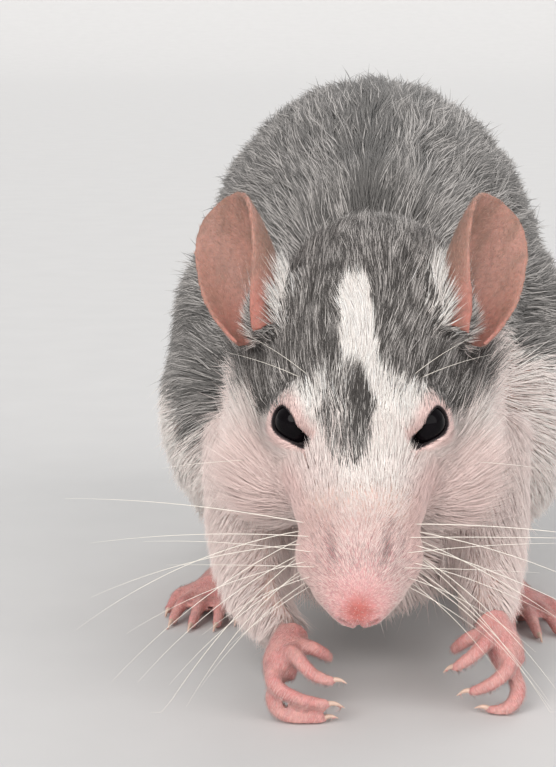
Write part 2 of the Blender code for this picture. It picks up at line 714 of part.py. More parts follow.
def build():
    clear_scene()
    rat = new_collection("pet rat")
    materials = make_materials()

    whole = blended("whole", trunk_forms(rat) + head_forms(rat), BODY_VOXEL, BODY_SMOOTHING, rat)
    head, trunk = parted(whole, *HEAD_CUT, ("head whole", "trunk"), rat)
    trunk, tail_base = parted(trunk, (0, TAIL_PLANES[0], 0), (0, 1, 0), ("trunk", "tail"), rat)
    tail_base, spare = parted(tail_base, (0, TAIL_PLANES[1], 0), (0, 1, 0), ("tail_base", "spare"), rat)
    remove([spare])
    thin_out(tail_base, TAIL_BASE_TRIANGLES)
    thin_out(head, HEAD_TRIANGLES)
    thin_out(trunk, TRUNK_TRIANGLES)

    forelegs = build_forelegs(trunk, rat)
    thighs = build_thighs(trunk, rat)
    neck, torso = parted(trunk, *NECK_CUT, ("neck", "torso"), rat)

    head, muzzle, lower_jaw = build_face(head, rat)
    eyes = set_eyes(head, rat)
    ears = []
    head_and_room = grown(head, "head and room", rat)
    for name, side in (("ear_right", -1), ("ear_left", 1)):
        ears.append(combine(ear(name, side, rat), [head_and_room], "DIFFERENCE"))

    paws = []
    for leg, palm, digits, claws, name in (
        (0, RIGHT_SIDE_PALM, RIGHT_SIDE_DIGITS, RIGHT_SIDE_CLAWS, "forepaw_right"),
        (1, LEFT_SIDE_PALM, LEFT_SIDE_DIGITS, LEFT_SIDE_CLAWS, "forepaw_left"),
    ):
        paw = forepaw("paw whole", palm, digits, claws, rat)
        paws.append(on_floor(paw_cut(paw, palm, name, rat), rat))
        leg_name = forelegs[leg].name
        forelegs[leg] = wrist_cut(forelegs[leg], palm, leg_name + " cut", rat)
        forelegs[leg].name = leg_name

    feet = []
    for name, heel, side in (
        ("hind_foot_right", HEEL_RIGHT_SIDE, -1),
        ("hind_foot_left", HEEL_LEFT_SIDE, 1),
    ):
        feet.append(on_floor(hind_foot(name, heel, side, rat), rat))
        room = heel_room(heel, side, rat)
        for obj in [torso] + thighs:
            combine(obj, [room], "DIFFERENCE")
        remove([room])

    tail = [on_floor(obj, rat) for obj in [tail_base] + tail_lengths(rat)]
    final = [head, muzzle, lower_jaw, neck, torso] + ears + eyes + forelegs + thighs + paws + feet + tail
    keep = set(final)
    remove([obj for obj in bpy.data.objects if obj not in keep])
    parts = {obj.name: triangulated(obj) for obj in final}
    centre_on_origin(parts)
    paint(parts, materials)


build()
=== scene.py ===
"""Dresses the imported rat: one skin over all its flesh, a coat of tufts, eyes, lids, claws and whiskers.

Lengths are in millimetres in the maker's own frame, and placed() turns them into metres. The rat faces -Y.
"""
import math

import bmesh
import bpy
import numpy as np
from mathutils import Matrix, Vector
from mathutils.bvhtree import BVHTree
from mathutils.kdtree import KDTree


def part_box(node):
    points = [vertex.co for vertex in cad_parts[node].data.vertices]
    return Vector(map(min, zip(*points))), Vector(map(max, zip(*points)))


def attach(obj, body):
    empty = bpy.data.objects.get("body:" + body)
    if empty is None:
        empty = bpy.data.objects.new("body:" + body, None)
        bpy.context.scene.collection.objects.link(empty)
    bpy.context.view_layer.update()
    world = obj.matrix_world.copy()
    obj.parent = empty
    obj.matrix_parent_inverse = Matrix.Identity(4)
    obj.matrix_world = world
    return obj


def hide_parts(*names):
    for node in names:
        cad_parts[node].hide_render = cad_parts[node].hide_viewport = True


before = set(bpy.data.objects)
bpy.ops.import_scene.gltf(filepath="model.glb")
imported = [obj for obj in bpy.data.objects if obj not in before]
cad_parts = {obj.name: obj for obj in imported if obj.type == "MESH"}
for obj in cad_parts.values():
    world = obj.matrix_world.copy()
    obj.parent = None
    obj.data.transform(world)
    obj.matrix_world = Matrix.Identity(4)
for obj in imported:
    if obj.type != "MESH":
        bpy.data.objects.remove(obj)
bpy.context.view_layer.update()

MM = 0.001
SEED = 7
SIDES = (1, -1)

# Head frame: the nose points to -Y and the crown to +Z, and the eyes lie on both sides of its origin
HEAD_PITCH = math.radians(55)
HEAD_ORIGIN = np.array((0.0, 8.0, 41.0))
EYE_SPOT = np.array((8.8, 0.2, 0.2))
EYE_RADIUS = 3.2
GAZE = np.array((0.732, -0.124, 0.67))
CANTHUS_WAY = np.array((-0.381, -0.891, 0.242))
NOSE_TIP = np.array((0.0, -5.6, 17.6))
NOSTRIL = (1.75, -4.6)
CREASE = ((2.7, -21.4, -1.2), (4.6, -16.2, 1.4))
EAR_ROOT_PLACE = (14.5, 14.8, 56.5)

# Half opening of the lids at equal steps round the gaze, from the front corner of the eye
LID_REACH = (4.75, 2.8, 2.1, 1.98, 2.1, 2.2, 2.15, 2.05, 1.82, 1.8, 2.1, 2.8)
LID_RIM = 0.15
LIDS_END = 7.5

# Skin
GAP_BRIDGE = 0.22
SKIN_VOXEL = 0.45
SKIN_TRIANGLES = 165000
SKIN_FLOOR = 0.02
EYE_REACH = 5.6
FACE_REACH = 7.5

# Coat of each region: depth over the skin, length of a tuft, relative density, width, lift in degrees
COATS = {
    "torso": (2.3, 8.2, 2.95, 0.20, 18),
    "neck": (2.0, 7.0, 6.7, 0.16, 21),
    "head": (1.15, 4.3, 21.0, 0.105, 23),
    "muzzle": (0.42, 1.45, 27.0, 0.06, 27),
    "lower_jaw": (0.5, 2.0, 9.0, 0.10, 24),
    "ear": (0.22, 0.9, 4.0, 0.055, 35),
    "foreleg": (1.0, 4.7, 10.0, 0.12, 24),
    "forepaw": (0.34, 1.25, 7.0, 0.05, 24),
    "thigh": (1.9, 6.6, 3.0, 0.18, 18),
    "hind_foot": (0.3, 1.3, 3.0, 0.055, 20),
    "tail": (0.15, 1.5, 1.0, 0.06, 18),
}
REGION_NAMES = list(COATS)
HEAD_REGIONS = ("head", "muzzle", "lower_jaw")
TRUNK_REGIONS = ("torso", "neck")
LIMB_REGIONS = ("thigh", "foreleg")
BARE_REGIONS = ("ear", "forepaw", "hind_foot", "tail")
FLESH = [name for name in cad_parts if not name.startswith("eye_")]
COAT_TUFTS = 246000
TUFTS_IN_A_PIECE = 33000
ROOT_DEPTH = 0.25
TUFT_BEND = 0.42
TUFT_FLOOR = 0.15
GUARD_SHARE = 0.02
UV_PATCH = 0.0028

# Middles that the pieces of the coat lie round, in the head's own frame and in the maker's
HEAD_CORE = (0, 0, -6)
TRUNK_CORE = (0, 0, 35)
# Middle and reach of the painted pink bounce light on each cheek, in the head's own frame
CHEEK_BOUNCE_LIGHT = (8.0, -11.5, -3.5)
CHEEK_BOUNCE_LIGHT_REACH = (3.6, 4.5, 4.5)

# Colours, linear
DARK_HAIR = np.array((0.066, 0.060, 0.056))
SLATE_HAIR = np.array((0.22, 0.205, 0.195))
SILVER_HAIR = np.array((0.65, 0.61, 0.58))
MIDDLE_GREY = np.array((0.27, 0.265, 0.255))
WHITE_HAIR = np.array((0.95, 0.91, 0.86))
# Pink of the white coat: the skin showing through, and painted pink bounce light
PINK_HAIR = np.array((0.88, 0.60, 0.56))
FRECKLE_HAIR = np.array((0.46, 0.32, 0.31))
DOWN_HAIR = np.array((0.76, 0.50, 0.47))
EAR_DOWN = np.array((0.48, 0.29, 0.235))
UMBER_HAIR = np.array((0.24, 0.16, 0.12))
PALE_SKIN = np.array((0.80, 0.55, 0.48))
GREY_SKIN = np.array((0.12, 0.112, 0.106))
PAW_SKIN = np.array((0.60, 0.255, 0.24))
NOSE_SKIN = np.array((0.50, 0.14, 0.12))
MUZZLE_SKIN = np.array((0.66, 0.34, 0.335))
EAR_SKIN = np.array((0.43, 0.225, 0.178))
EAR_ROOT = np.array((0.56, 0.145, 0.12))
EAR_SHADE = np.array((0.22, 0.14, 0.105))
LID_SKIN = np.array((0.016, 0.011, 0.012))
EYE_GLOSS = np.array((0.004, 0.003, 0.004))
TAIL_SKIN = np.array((0.56, 0.36, 0.31))
HORN = np.array((0.70, 0.50, 0.40))
WHISKER = np.array((0.90, 0.85, 0.76))
PALE_FLOOR = np.array((0.63, 0.625, 0.62))


def ease(value, low, high):
    """0 below low, 1 above high and a smooth rise between them."""
    share = np.clip((value - low) / (high - low), 0, 1)
    return share * share * (3 - 2 * share)


def hump(value, middle, reach):
    """1 at the middle, falling off smoothly over about the reach on both sides."""
    return np.exp(-((value - middle) / reach) ** 2)


def unit(vectors):
    return vectors / np.maximum(np.linalg.norm(vectors, axis=-1, keepdims=True), 1e-9)


def square_to(axes, vectors):
    """Each vector turned square to its axis, at unit length."""
    return unit(vectors - np.sum(vectors * axes, axis=1, keepdims=True) * axes)


def gap_to(place, points):
    """How far each point is from a place."""
    return np.linalg.norm(points - place, axis=1)


def in_head(points):
    """Points of the maker's frame in the head's own frame."""
    x, y, z = (np.asarray(points) - HEAD_ORIGIN).T
    c, s = math.cos(HEAD_PITCH), math.sin(HEAD_PITCH)
    return np.stack([x, y * c + z * s, -y * s + z * c], axis=-1)


def from_head(vectors):
    """Directions of the head's frame in the maker's frame."""
    x, y, z = np.asarray(vectors).T
    c, s = math.cos(HEAD_PITCH), math.sin(HEAD_PITCH)
    return np.stack([x, y * c - z * s, y * s + z * c], axis=-1)


# Where the maker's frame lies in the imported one, found by the eyes
EYE_BOXES = [np.array(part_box(name)) for name in ("eye_left", "eye_right")]
EYES_MIDDLE = HEAD_ORIGIN + from_head(EYE_SPOT * (0, 1, 1))
ORIGIN = np.mean(EYE_BOXES, axis=(0, 1)) - EYES_MIDDLE * MM
EYE_CENTRES = {side: box.mean(axis=0) / MM - ORIGIN / MM for side, box in zip(SIDES, EYE_BOXES)}


def placed(points):
    return np.asarray(points) * MM + ORIGIN


def mirrored(values, side):
    return np.array(values) * (side, 1, 1)


def ripple(points, scale, seed):
    """A smooth random field of about -1 to 1 whose features are about scale across."""
    draw = np.random.default_rng(seed)
    total = np.zeros(len(points))
    for step in range(9):
        way = unit(draw.normal(size=3)) * 2 * math.pi / (scale * draw.uniform(1.2, 3.2))
        total += np.sin(points @ way + draw.uniform(0, 2 * math.pi))
    return total / 3


# Markings of the coat

GREY_EDGE_OUT = (0, 4, 8, 11, 13, 16, 20)
GREY_EDGE = (5.6, 5.6, 5.4, 4.4, 2.4, 7.0, 10)
BLAZE_STATIONS = (-30, 0, 3.5, 5.4, 6.9, 8.8, 11.4, 14.7, 18.5, 22)
BLAZE_MIDDLES = (3.7, 3.7, 2.4, 1.2, 0.05, -0.2, -0.5, -0.75, -0.85, -0.4)
BLAZE_HALVES = (1.9, 1.9, 1.6, 1.9, 2.55, 2.7, 2.3, 2.5, 1.95, 1.0)
SPOT_STATIONS = (-8, -6.5, -4, 0, 3, 5, 6.5)
SPOT_LEFT = (-1.6, -3.6, -5.2, -5.7, -5.4, -3.6, -1.8)
SPOT_RIGHT = (-0.4, 0.7, 1.9, 2.2, 1.7, 0.8, -0.7)
FLANK_STATIONS = (20, 34, 50, 62, 78, 100, 125, 150)
RIGHT_FLANK_LINE = (50, 42, 29, 29, 36, 40, 37, 26)
LEFT_FLANK_LINE = (57, 56, 54, 45, 41, 43, 38, 26)


def head_grey(points):
    """How grey the coat of the head is: 0 is white and 1 is grizzled."""
    x, y, z = in_head(points).T
    wobble = ripple(points, 2.2, 11)
    edge = np.interp(np.abs(x), GREY_EDGE_OUT, GREY_EDGE)
    grey = ease(y + 0.8 * wobble, edge - 1.5, edge + 1.6)
    brow = hump(np.abs(x), 8.0, 3.5) * hump(y, 4.6, 2.2)
    grey = np.maximum(grey, 0.42 * brow)
    grey = grey * ease(z + 0.8 * wobble, -12, -9)
    middle = np.interp(y, BLAZE_STATIONS, BLAZE_MIDDLES)
    half = np.interp(y, BLAZE_STATIONS, BLAZE_HALVES)
    blaze = 1 - ease(np.abs(x - middle) + 0.12 * wobble, half - 0.3, half + 0.4)
    blaze = blaze * (1 - ease(y, 19.5, 21.5))
    grey = grey * (1 - blaze)
    left = np.interp(y, SPOT_STATIONS, SPOT_LEFT)
    right = np.interp(y, SPOT_STATIONS, SPOT_RIGHT)
    spot = ease(np.minimum(x - left, right - x) + 0.3 * wobble, -0.4, 0.8) * ease(z, 0, 2.5)
    spot = spot * ease(y, -8.5, -5.0) * (1 - ease(y, 5.2, 7.0)) * (0.75 + 0.25 * ease(x, -2.2, -0.6))
    ears = hump(np.abs(x), 12.3, 2.3) * hump(y, 20.5, 5.5) * ease(z, -2, 1)
    grey = grey * (1 - 0.6 * ears)
    return np.clip(np.maximum(grey, spot), 0, 1)


def head_dark(points):
    """The share of dark hair in the grizzled coat of the head."""
    x, y, z = in_head(points).T
    core = hump(x, 0.2, 1.6) * hump(y, 1.4, 4.6)
    pale_side = hump(x, -3.6, 1.7) * hump(y, 0.5, 5.5)
    crown = ease(y, 21, 30)
    beside_blaze = hump(np.abs(x - 0.3), 4.4, 2.8) * ease(y, 7, 10) * (1 - ease(y, 21, 26))
    return 0.56 + 0.34 * core - 0.06 * pale_side - 0.05 * crown + 0.10 * beside_blaze


def body_grey(points):
    """How grey the coat of the trunk is."""
    x, y, z = points.T
    wobble = ripple(points, 7, 23)
    share = ease(x, -4, 4)
    line = np.interp(y, FLANK_STATIONS, RIGHT_FLANK_LINE) * (1 - share)
    line = line + np.interp(y, FLANK_STATIONS, LEFT_FLANK_LINE) * share
    return ease(z + 2.2 * wobble, line - 3.5, line + 3.5)


def body_dark(points):
    """The share of dark hair in the grizzled coat of the trunk."""
    x, y, z = points.T
    stripe = hump(x + 0.8 * ripple(points, 14, 5), 1.0, 4.5) * ease(z, 45, 60)
    shoulder = hump(y, 56, 16) * (1 - ease(z, 50, 62))
    return 0.29 + 0.72 * stripe + 0.16 * shoulder


def markings(points, headness):
    """Share of grey hairs, and how dark those are, at any point of the coat."""
    grey = body_grey(points) * (1 - headness) + head_grey(points) * headness
    dark = body_dark(points) * (1 - headness) + head_dark(points) * headness
    patchy = ripple(points, 1.7, 31) * 0.2 * headness + ripple(points, 3.4, 32) * 0.26 * (1 - headness)
    return grey, np.clip(dark + patchy, 0.08, 0.95)


# Mesh helpers


def mesh_of(name, points, polygons):
    """A mesh in metres from points in millimetres."""
    mesh = bpy.data.meshes.new(name)
    mesh.from_pydata([tuple(point) for point in placed(points)], [], polygons)
    mesh.shade_smooth()
    mesh.update()
    return mesh


def finished(name, mesh, material, slot, *nodes):
    """Puts a mesh in the scene as a piece of the rat."""
    mesh.materials.clear()
    mesh.materials.append(material)
    obj = linked_object(name, mesh)
    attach(obj, "root")
    if nodes:
        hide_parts(*nodes)
    return obj


def evaluated_mesh(obj):
    """The object's mesh with its modifiers worked in. The object itself is dropped."""
    graph = bpy.context.evaluated_depsgraph_get()
    mesh = bpy.data.meshes.new_from_object(obj.evaluated_get(graph))
    old = obj.data
    bpy.data.objects.remove(obj, do_unlink=True)
    bpy.data.meshes.remove(old)
    return mesh


def linked_object(name, data):
    obj = bpy.data.objects.new(name, data)
    bpy.context.scene.collection.objects.link(obj)
    return obj


def read_all(items, name, columns, kind=float):
    """A value of every item, with a row for each item."""
    flat = np.empty(len(items) * columns, dtype=kind)
    items.foreach_get(name, flat)
    return flat.reshape(-1, columns)


def made_points(mesh):
    """The mesh's vertices in millimetres in the maker's frame."""
    return (read_all(mesh.vertices, "co", 3) - ORIGIN) / MM


def normals_of(mesh):
    return read_all(mesh.vertices, "normal", 3)


def set_vertices(mesh, points):
    mesh.vertices.foreach_set("co", placed(points).astype(np.float32).ravel())
    mesh.update()


def add_colour(mesh, name, colours):
    layer = mesh.color_attributes.new(name, "FLOAT_COLOR", "POINT")
    values = np.ones((len(colours), 4), dtype=np.float32)
    values[:, :3] = colours
    layer.data.foreach_set("color", values.ravel())


def add_value(mesh, name, values):
    layer = mesh.attributes.new(name, "FLOAT", "POINT")
    layer.data.foreach_set("value", np.asarray(values, dtype=np.float32))


class Neighbours:
    """Averages values over the vertices that share an edge."""

    def __init__(self, mesh):
        self.a, self.b = read_all(mesh.edges, "vertices", 2, np.int64).T
        self.count = len(mesh.vertices)
        self.degree = np.maximum(np.bincount(np.concatenate([self.a, self.b]), minlength=self.count), 1)

    def mean(self, values):
        columns = values.reshape(self.count, -1)
        out = np.empty_like(columns)
        for column in range(columns.shape[1]):
            line = columns[:, column]
            total = np.bincount(self.a, weights=line[self.b], minlength=self.count)
            total += np.bincount(self.b, weights=line[self.a], minlength=self.count)
            out[:, column] = total / self.degree
        return out.reshape(values.shape)

    def spread(self, values, rounds):
        for step in range(rounds):
            values = 0.5 * values + 0.5 * self.mean(values)
        return values

    def borders(self, regions, rounds):
        """1 along the borders between regions, fading out over the given rounds."""
        marks = np.zeros(self.count)
        cross = regions[self.a] != regions[self.b]
        marks[self.a[cross]] = 1
        marks[self.b[cross]] = 1
        return np.clip(3 * self.spread(marks, rounds), 0, 1)


# Eyes and lids


def eye_axes(side):
    """The way an eye looks, the way to its front corner and the way across, in the maker's frame."""
    way = unit(from_head(mirrored(GAZE, side)))
    long_way = from_head(mirrored(CANTHUS_WAY, side))
    long_way = unit(long_way - long_way @ way * way)
    return way, long_way, np.cross(way, long_way) * side


def lid_reach(angle):
    """Half opening of the lids at an angle round the gaze, on a smooth closed curve."""
    reach = np.array(LID_REACH)
    count = len(reach)
    place = (angle / (2 * math.pi) * count) % count
    first = np.floor(place).astype(int) % count
    share = place - np.floor(place)
    before, here = reach[first - 1], reach[first]
    after, later = reach[(first + 1) % count], reach[(first + 2) % count]
    square = 2 * before - 5 * here + 4 * after - later
    cube = -before + 3 * here - 3 * after + later
    return here + 0.5 * share * (after - before + share * (square + share * cube))


def lid_distance(points, side):
    """How far a point is outside the lid opening, up along the gaze and from the middle of the eye."""
    way, long_way, short_way = eye_axes(side)
    offset = points - EYE_CENTRES[side]
    along, across, height = offset @ long_way, offset @ short_way, offset @ way
    flat = np.hypot(along, across)
    return flat - lid_reach(np.arctan2(across, along)), height, np.linalg.norm(offset, axis=-1)


def open_lids(points):
    """Opens the closed skin over each eye and thins the lids towards their rims."""
    points = points.copy()
    for side in SIDES:
        way = eye_axes(side)[0]
        middle = EYE_CENTRES[side]
        near = gap_to(middle, points) < LIDS_END
        spots = points[near]
        outside, height, radius = lid_distance(spots, side)
        front = ease(height, -2.0, -0.5)
        thin = EYE_RADIUS + 0.22 + 0.5 * np.maximum(outside, 0)
        lid = np.minimum(radius, thin)
        spots = middle + (spots - middle) * (1 + front * (lid / radius - 1))[:, None]
        outside, height, radius = lid_distance(spots, side)
        flat = np.sqrt(np.maximum(radius ** 2 - height ** 2, 0))
        behind = np.sqrt(np.maximum((EYE_RADIUS - 0.35) ** 2 - flat ** 2, 0))
        sink = np.maximum(height - np.maximum(behind, height - 1.2), 0)
        inside = ease(-outside, 0.0, 0.3) * ease(height, -0.5, 0.3)
        points[near] = spots - way * (sink * inside)[:, None]
    return points


def lid_rim(side, skin_tree):
    """The bare dark edge of the lids, a closed ring laid on the eye and the skin round it."""
    way, long_way, short_way = eye_axes(side)
    steps, sides, above = 72, 8, 9
    angles = np.arange(steps) / steps * 2 * math.pi
    middle = EYE_CENTRES[side]
    ring = []
    for angle, out in zip(angles, lid_reach(angles)):
        around = long_way * math.cos(angle) + short_way * math.sin(angle)
        hit = skin_tree.ray_cast(Vector(middle + around * (out + LID_RIM) + way * above), Vector(-way))
        height = above - hit[3] if hit[0] is not None else 0.0
        if out < EYE_RADIUS:
            ball_height = math.sqrt(EYE_RADIUS ** 2 - out ** 2)
            height = min(max(height, ball_height + 0.04), ball_height + 0.3)
        ring.append(middle + around * out + way * height)
    ring = np.array(ring)
    for step in range(3):
        ring = 0.5 * ring + 0.25 * (np.roll(ring, 1, axis=0) + np.roll(ring, -1, axis=0))
    ahead = unit(np.roll(ring, -1, axis=0) - np.roll(ring, 1, axis=0))
    out = square_to(ahead, unit(ring - middle))
    over = np.cross(ahead, out)
    turns = 2 * math.pi * np.arange(sides) / sides
    points = np.stack([ring + LID_RIM * (out * math.cos(t) + over * math.sin(t)) for t in turns], axis=1)
    polygons = []
    for step in range(steps):
        here, there = step * sides, (step + 1) % steps * sides
        for index in range(sides):
            other = (index + 1) % sides
            polygons.append((here + index, here + other, there + other, there + index))
    return points.reshape(-1, 3), polygons


def recalculated(mesh):
    """Turns every face of a closed mesh outwards."""
    shape = bmesh.new()
    shape.from_mesh(mesh)
    bmesh.ops.recalc_face_normals(shape, faces=shape.faces)
    shape.to_mesh(mesh)
    shape.free()
    return mesh


def eye_ball(side):
    """A fine ball with a slightly fuller clear front."""
    shape = bmesh.new()
    bmesh.ops.create_icosphere(shape, subdivisions=5, radius=EYE_RADIUS)
    way = eye_axes(side)[0]
    for vertex in shape.verts:
        share = max(0.0, float(np.dot(way, vertex.co.normalized())))
        vertex.co = vertex.co * (1 + 0.02 * share ** 6) + Vector(EYE_CENTRES[side])
    points = np.array([tuple(vertex.co) for vertex in shape.verts])
    polygons = [tuple(vertex.index for vertex in face.verts) for face in shape.faces]
    shape.free()
    return points, polygons


def build_eyes(skin_tree):
    eye = eye_material()
    rim = lid_material()
    for side, name in zip(SIDES, ("eye_left", "eye_right")):
        points, polygons = eye_ball(side)
        finished(name + "_ball", mesh_of(name + "_ball", points, polygons), eye, "eye", name)
        points, polygons = lid_rim(side, skin_tree)
        mesh = recalculated(mesh_of(name + "_lid_rim", points, polygons))
        finished(name + "_lid_rim", mesh, rim, "pink_skin")


# Skin


def region_of(name):
    for region in REGION_NAMES:
        if name.startswith(region):
            return REGION_NAMES.index(region)
    return REGION_NAMES.index("torso")


def is_region(regions, *names):
    return np.isin(regions, [REGION_NAMES.index(name) for name in names]).astype(float)


def flesh_shell():
    """All the flesh as one closed surface, with the cuts between the nodes and the sockets filled."""
    shape = bmesh.new()
    for name in FLESH:
        shape.from_mesh(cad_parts[name].data)
    bmesh.ops.remove_doubles(shape, verts=shape.verts, dist=MM / 1000)
    shape.normal_update()
    for vertex in shape.verts:
        vertex.co += vertex.normal * GAP_BRIDGE * MM
    for centre in EYE_CENTRES.values():
        place = Matrix.Translation(placed(centre))
        bmesh.ops.create_icosphere(shape, subdivisions=4, radius=(EYE_RADIUS + 1.0) * MM, matrix=place)
    mesh = bpy.data.meshes.new("flesh")
    shape.to_mesh(mesh)
    shape.free()
    obj = linked_object("flesh", mesh)
    remesh = obj.modifiers.new("fused", "REMESH")
    remesh.mode = "VOXEL"
    remesh.voxel_size = SKIN_VOXEL * MM
    return evaluated_mesh(obj)


def flesh_lookup():
    """A search tree over the flesh nodes, with the region of each of its faces."""
    points, polygons, regions = [], [], []
    for name in FLESH:
        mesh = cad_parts[name].data
        start = len(points)
        points.extend(Vector(point) for point in made_points(mesh))
        for polygon in mesh.polygons:
            polygons.append(tuple(start + index for index in polygon.vertices))
            regions.append(region_of(name))
    return BVHTree.FromPolygons(points, polygons), regions


def regions_at(points, lookup):
    tree, regions = lookup
    return np.array([regions[tree.find_nearest(Vector(point))[2]] for point in points])


def refined(mesh, centres, reaches):
    """Splits the faces near the given centres once, and leaves the mesh in triangles."""
    shape = bmesh.new()
    shape.from_mesh(mesh)
    edges = []
    for edge in shape.edges:
        middle = (edge.verts[0].co + edge.verts[1].co) / 2
        if any((middle - centre).length < reach for centre, reach in zip(centres, reaches)):
            edges.append(edge)
    bmesh.ops.subdivide_edges(shape, edges=edges, cuts=1, use_grid_fill=True)
    bmesh.ops.triangulate(shape, faces=shape.faces)
    shape.to_mesh(mesh)
    shape.free()
    return mesh


def thinned(mesh, triangles):
    """Thins a mesh to about the given number of triangles."""
    obj = linked_object("thinned", mesh)
    modifier = obj.modifiers.new("thinned", "DECIMATE")
    modifier.ratio = triangles / sum(len(polygon.vertices) - 2 for polygon in mesh.polygons)
    modifier.use_collapse_triangulate = True
    return evaluated_mesh(obj)


def coat_table(regions):
    return np.array([COATS[name] for name in REGION_NAMES])[regions]


def build_skin_mesh(lookup):
    """The closed skin, drawn in from the flesh by the depth of the coat, with its joins smoothed away."""
    mesh = flesh_shell()
    points = made_points(mesh)
    regions = regions_at(points, lookup)
    near = Neighbours(mesh)
    coat = near.spread(coat_table(regions), 14)
    soft = near.spread(is_region(regions, *TRUNK_REGIONS, *LIMB_REGIONS), 8)
    soft = np.maximum(soft, near.borders(regions, 8))[:, None]
    for step in range(3):
        points = 0.45 * points + 0.55 * near.mean(points)
    for step in range(16):
        points = points + soft * 0.6 * (near.mean(points) - points)
    set_vertices(mesh, points)
    eyes = np.min([gap_to(centre, points) for centre in EYE_CENTRES.values()], axis=0)
    depth = coat[:, 0] * ease(eyes, 3.6, 7.0) * ease(gap_to(NOSE_TIP, points), 3.0, 9.0)
    depth = near.spread(depth, 6)
    points = points - normals_of(mesh) * depth[:, None]
    for step in range(6):
        points = points + soft * 0.6 * (near.mean(points) - points)
    points[:, 2] = np.maximum(points[:, 2], SKIN_FLOOR)
    set_vertices(mesh, points)
    return thinned(mesh, SKIN_TRIANGLES)


def crease_distance(local):
    """How far each point of the head is from the crease along the top of the nearer whisker pad."""
    start, end = np.array(CREASE[0]), np.array(CREASE[1])
    folded = np.abs(local[:, :1])
    spots = np.concatenate([folded, local[:, 1:]], axis=1)
    share = np.clip((spots - start) @ (end - start) / ((end - start) @ (end - start)), 0, 1)
    return np.linalg.norm(spots - start - share[:, None] * (end - start), axis=1)


def crease_mark(local, reach):
    """1 along the crease of each whisker pad, falling off over the reach."""
    return hump(crease_distance(local), 0, reach) * ease(local[:, 2], -4, -2)


def shape_face(points):
    """Cuts the nostrils and the groove under the nose, and folds the skin of the muzzle."""
    local = in_head(points)
    x, y, z = local.T
    nose = ease(-y, 23.0, 25.5)
    push = np.zeros(len(points))
    for side in SIDES:
        dx, dz = (x * side - NOSTRIL[0]), (z - NOSTRIL[1])
        comma = np.hypot(dx, (dz - 0.35 * dx) * 1.5)
        push += 1.1 * (1 - ease(comma, 0.25, 1.0)) * ease(-y, 22.0, 24.5)
        push -= 0.22 * hump(comma, 1.35, 0.45) * nose
    push += 0.75 * hump(x, 0, 0.42) * ease(-y, 20, 24) * (1 - ease(z, -5.6, -4.0))
    folds = np.sin(z * 4.2 + 0.5 * x ** 2) * ease(z, -4.2, -2.5) * ease(-y, 21, 24)
    push += 0.09 * folds * (1 - ease(np.abs(x), 2.4, 3.6))
    local[:, 1] += push
    local[:, 2] -= 0.35 * crease_mark(local, 0.8)
    return HEAD_ORIGIN + from_head(local)


def sink_mouth(points, normals, jaw_share):
    """Presses in the seam of the mouth along the edge of the lower jaw."""
    seam = hump(jaw_share, 0.5, 0.2) * ease(-in_head(points)[:, 1], 7, 11)
    return points - normals * (0.45 * seam)[:, None]


def ear_fuzz(points):
    """Where brown fuzz covers the inner edge of each ear."""
    inner = 1 - ease(np.abs(points[:, 0]), 13.6, 15.6)
    return inner * ease(points[:, 2], 58, 64)


def skin_colours(points, parts):
    """The colour of the skin, with the same markings as the coat."""
    grey = markings(points, parts["headness"])[0]
    local = in_head(points)
    colours = PALE_SKIN + grey[:, None] * (GREY_SKIN - PALE_SKIN)

    def tint(colour, share):
        share = np.clip(share, 0, 1)[:, None]
        return colours + share * (colour - colours)

    mottle = ripple(points, 1.6, 41)
    colours = tint(MUZZLE_SKIN, ease(-local[:, 1], 12, 19) * parts["headness"])
    colours = tint(PAW_SKIN, parts["paw"] * (0.86 + 0.14 * mottle))
    colours = tint(TAIL_SKIN, parts["tail"])
    colours = tint(EAR_SKIN, parts["ear"])
    root = np.zeros(len(points))
    for side in SIDES:
        root += hump(gap_to(mirrored(EAR_ROOT_PLACE, side), points), 0, 5.0)
    colours = tint(EAR_SKIN, parts["ear_floor"])
    colours = tint(EAR_ROOT, np.maximum(parts["ear"], parts["ear_floor"]) * root * 0.9)
    freckles = ease(mottle + 0.3 * ripple(points, 0.6, 43) + ease(points[:, 2], 60, 70), 0.2, 1.5)
    colours = tint(EAR_SHADE, parts["ear"] * np.maximum(0.5 * freckles, 0.65 * ear_fuzz(points)))
    nose = np.exp(-(gap_to(NOSE_TIP, points) / 2.3) ** 2.5)
    colours = tint(NOSE_SKIN, nose)
    for side in SIDES:
        outside, height, radius = lid_distance(points, side)
        around = ease(height, -1.5, 0) * (1 - ease(radius, 5.5, 6.5))
        colours = tint(PINK_HAIR * 0.75, (1 - ease(outside, 0.7, 2.0)) * around)
        colours = tint(LID_SKIN, (1 - ease(outside, 0.05, 0.45)) * around)
    return colours, nose


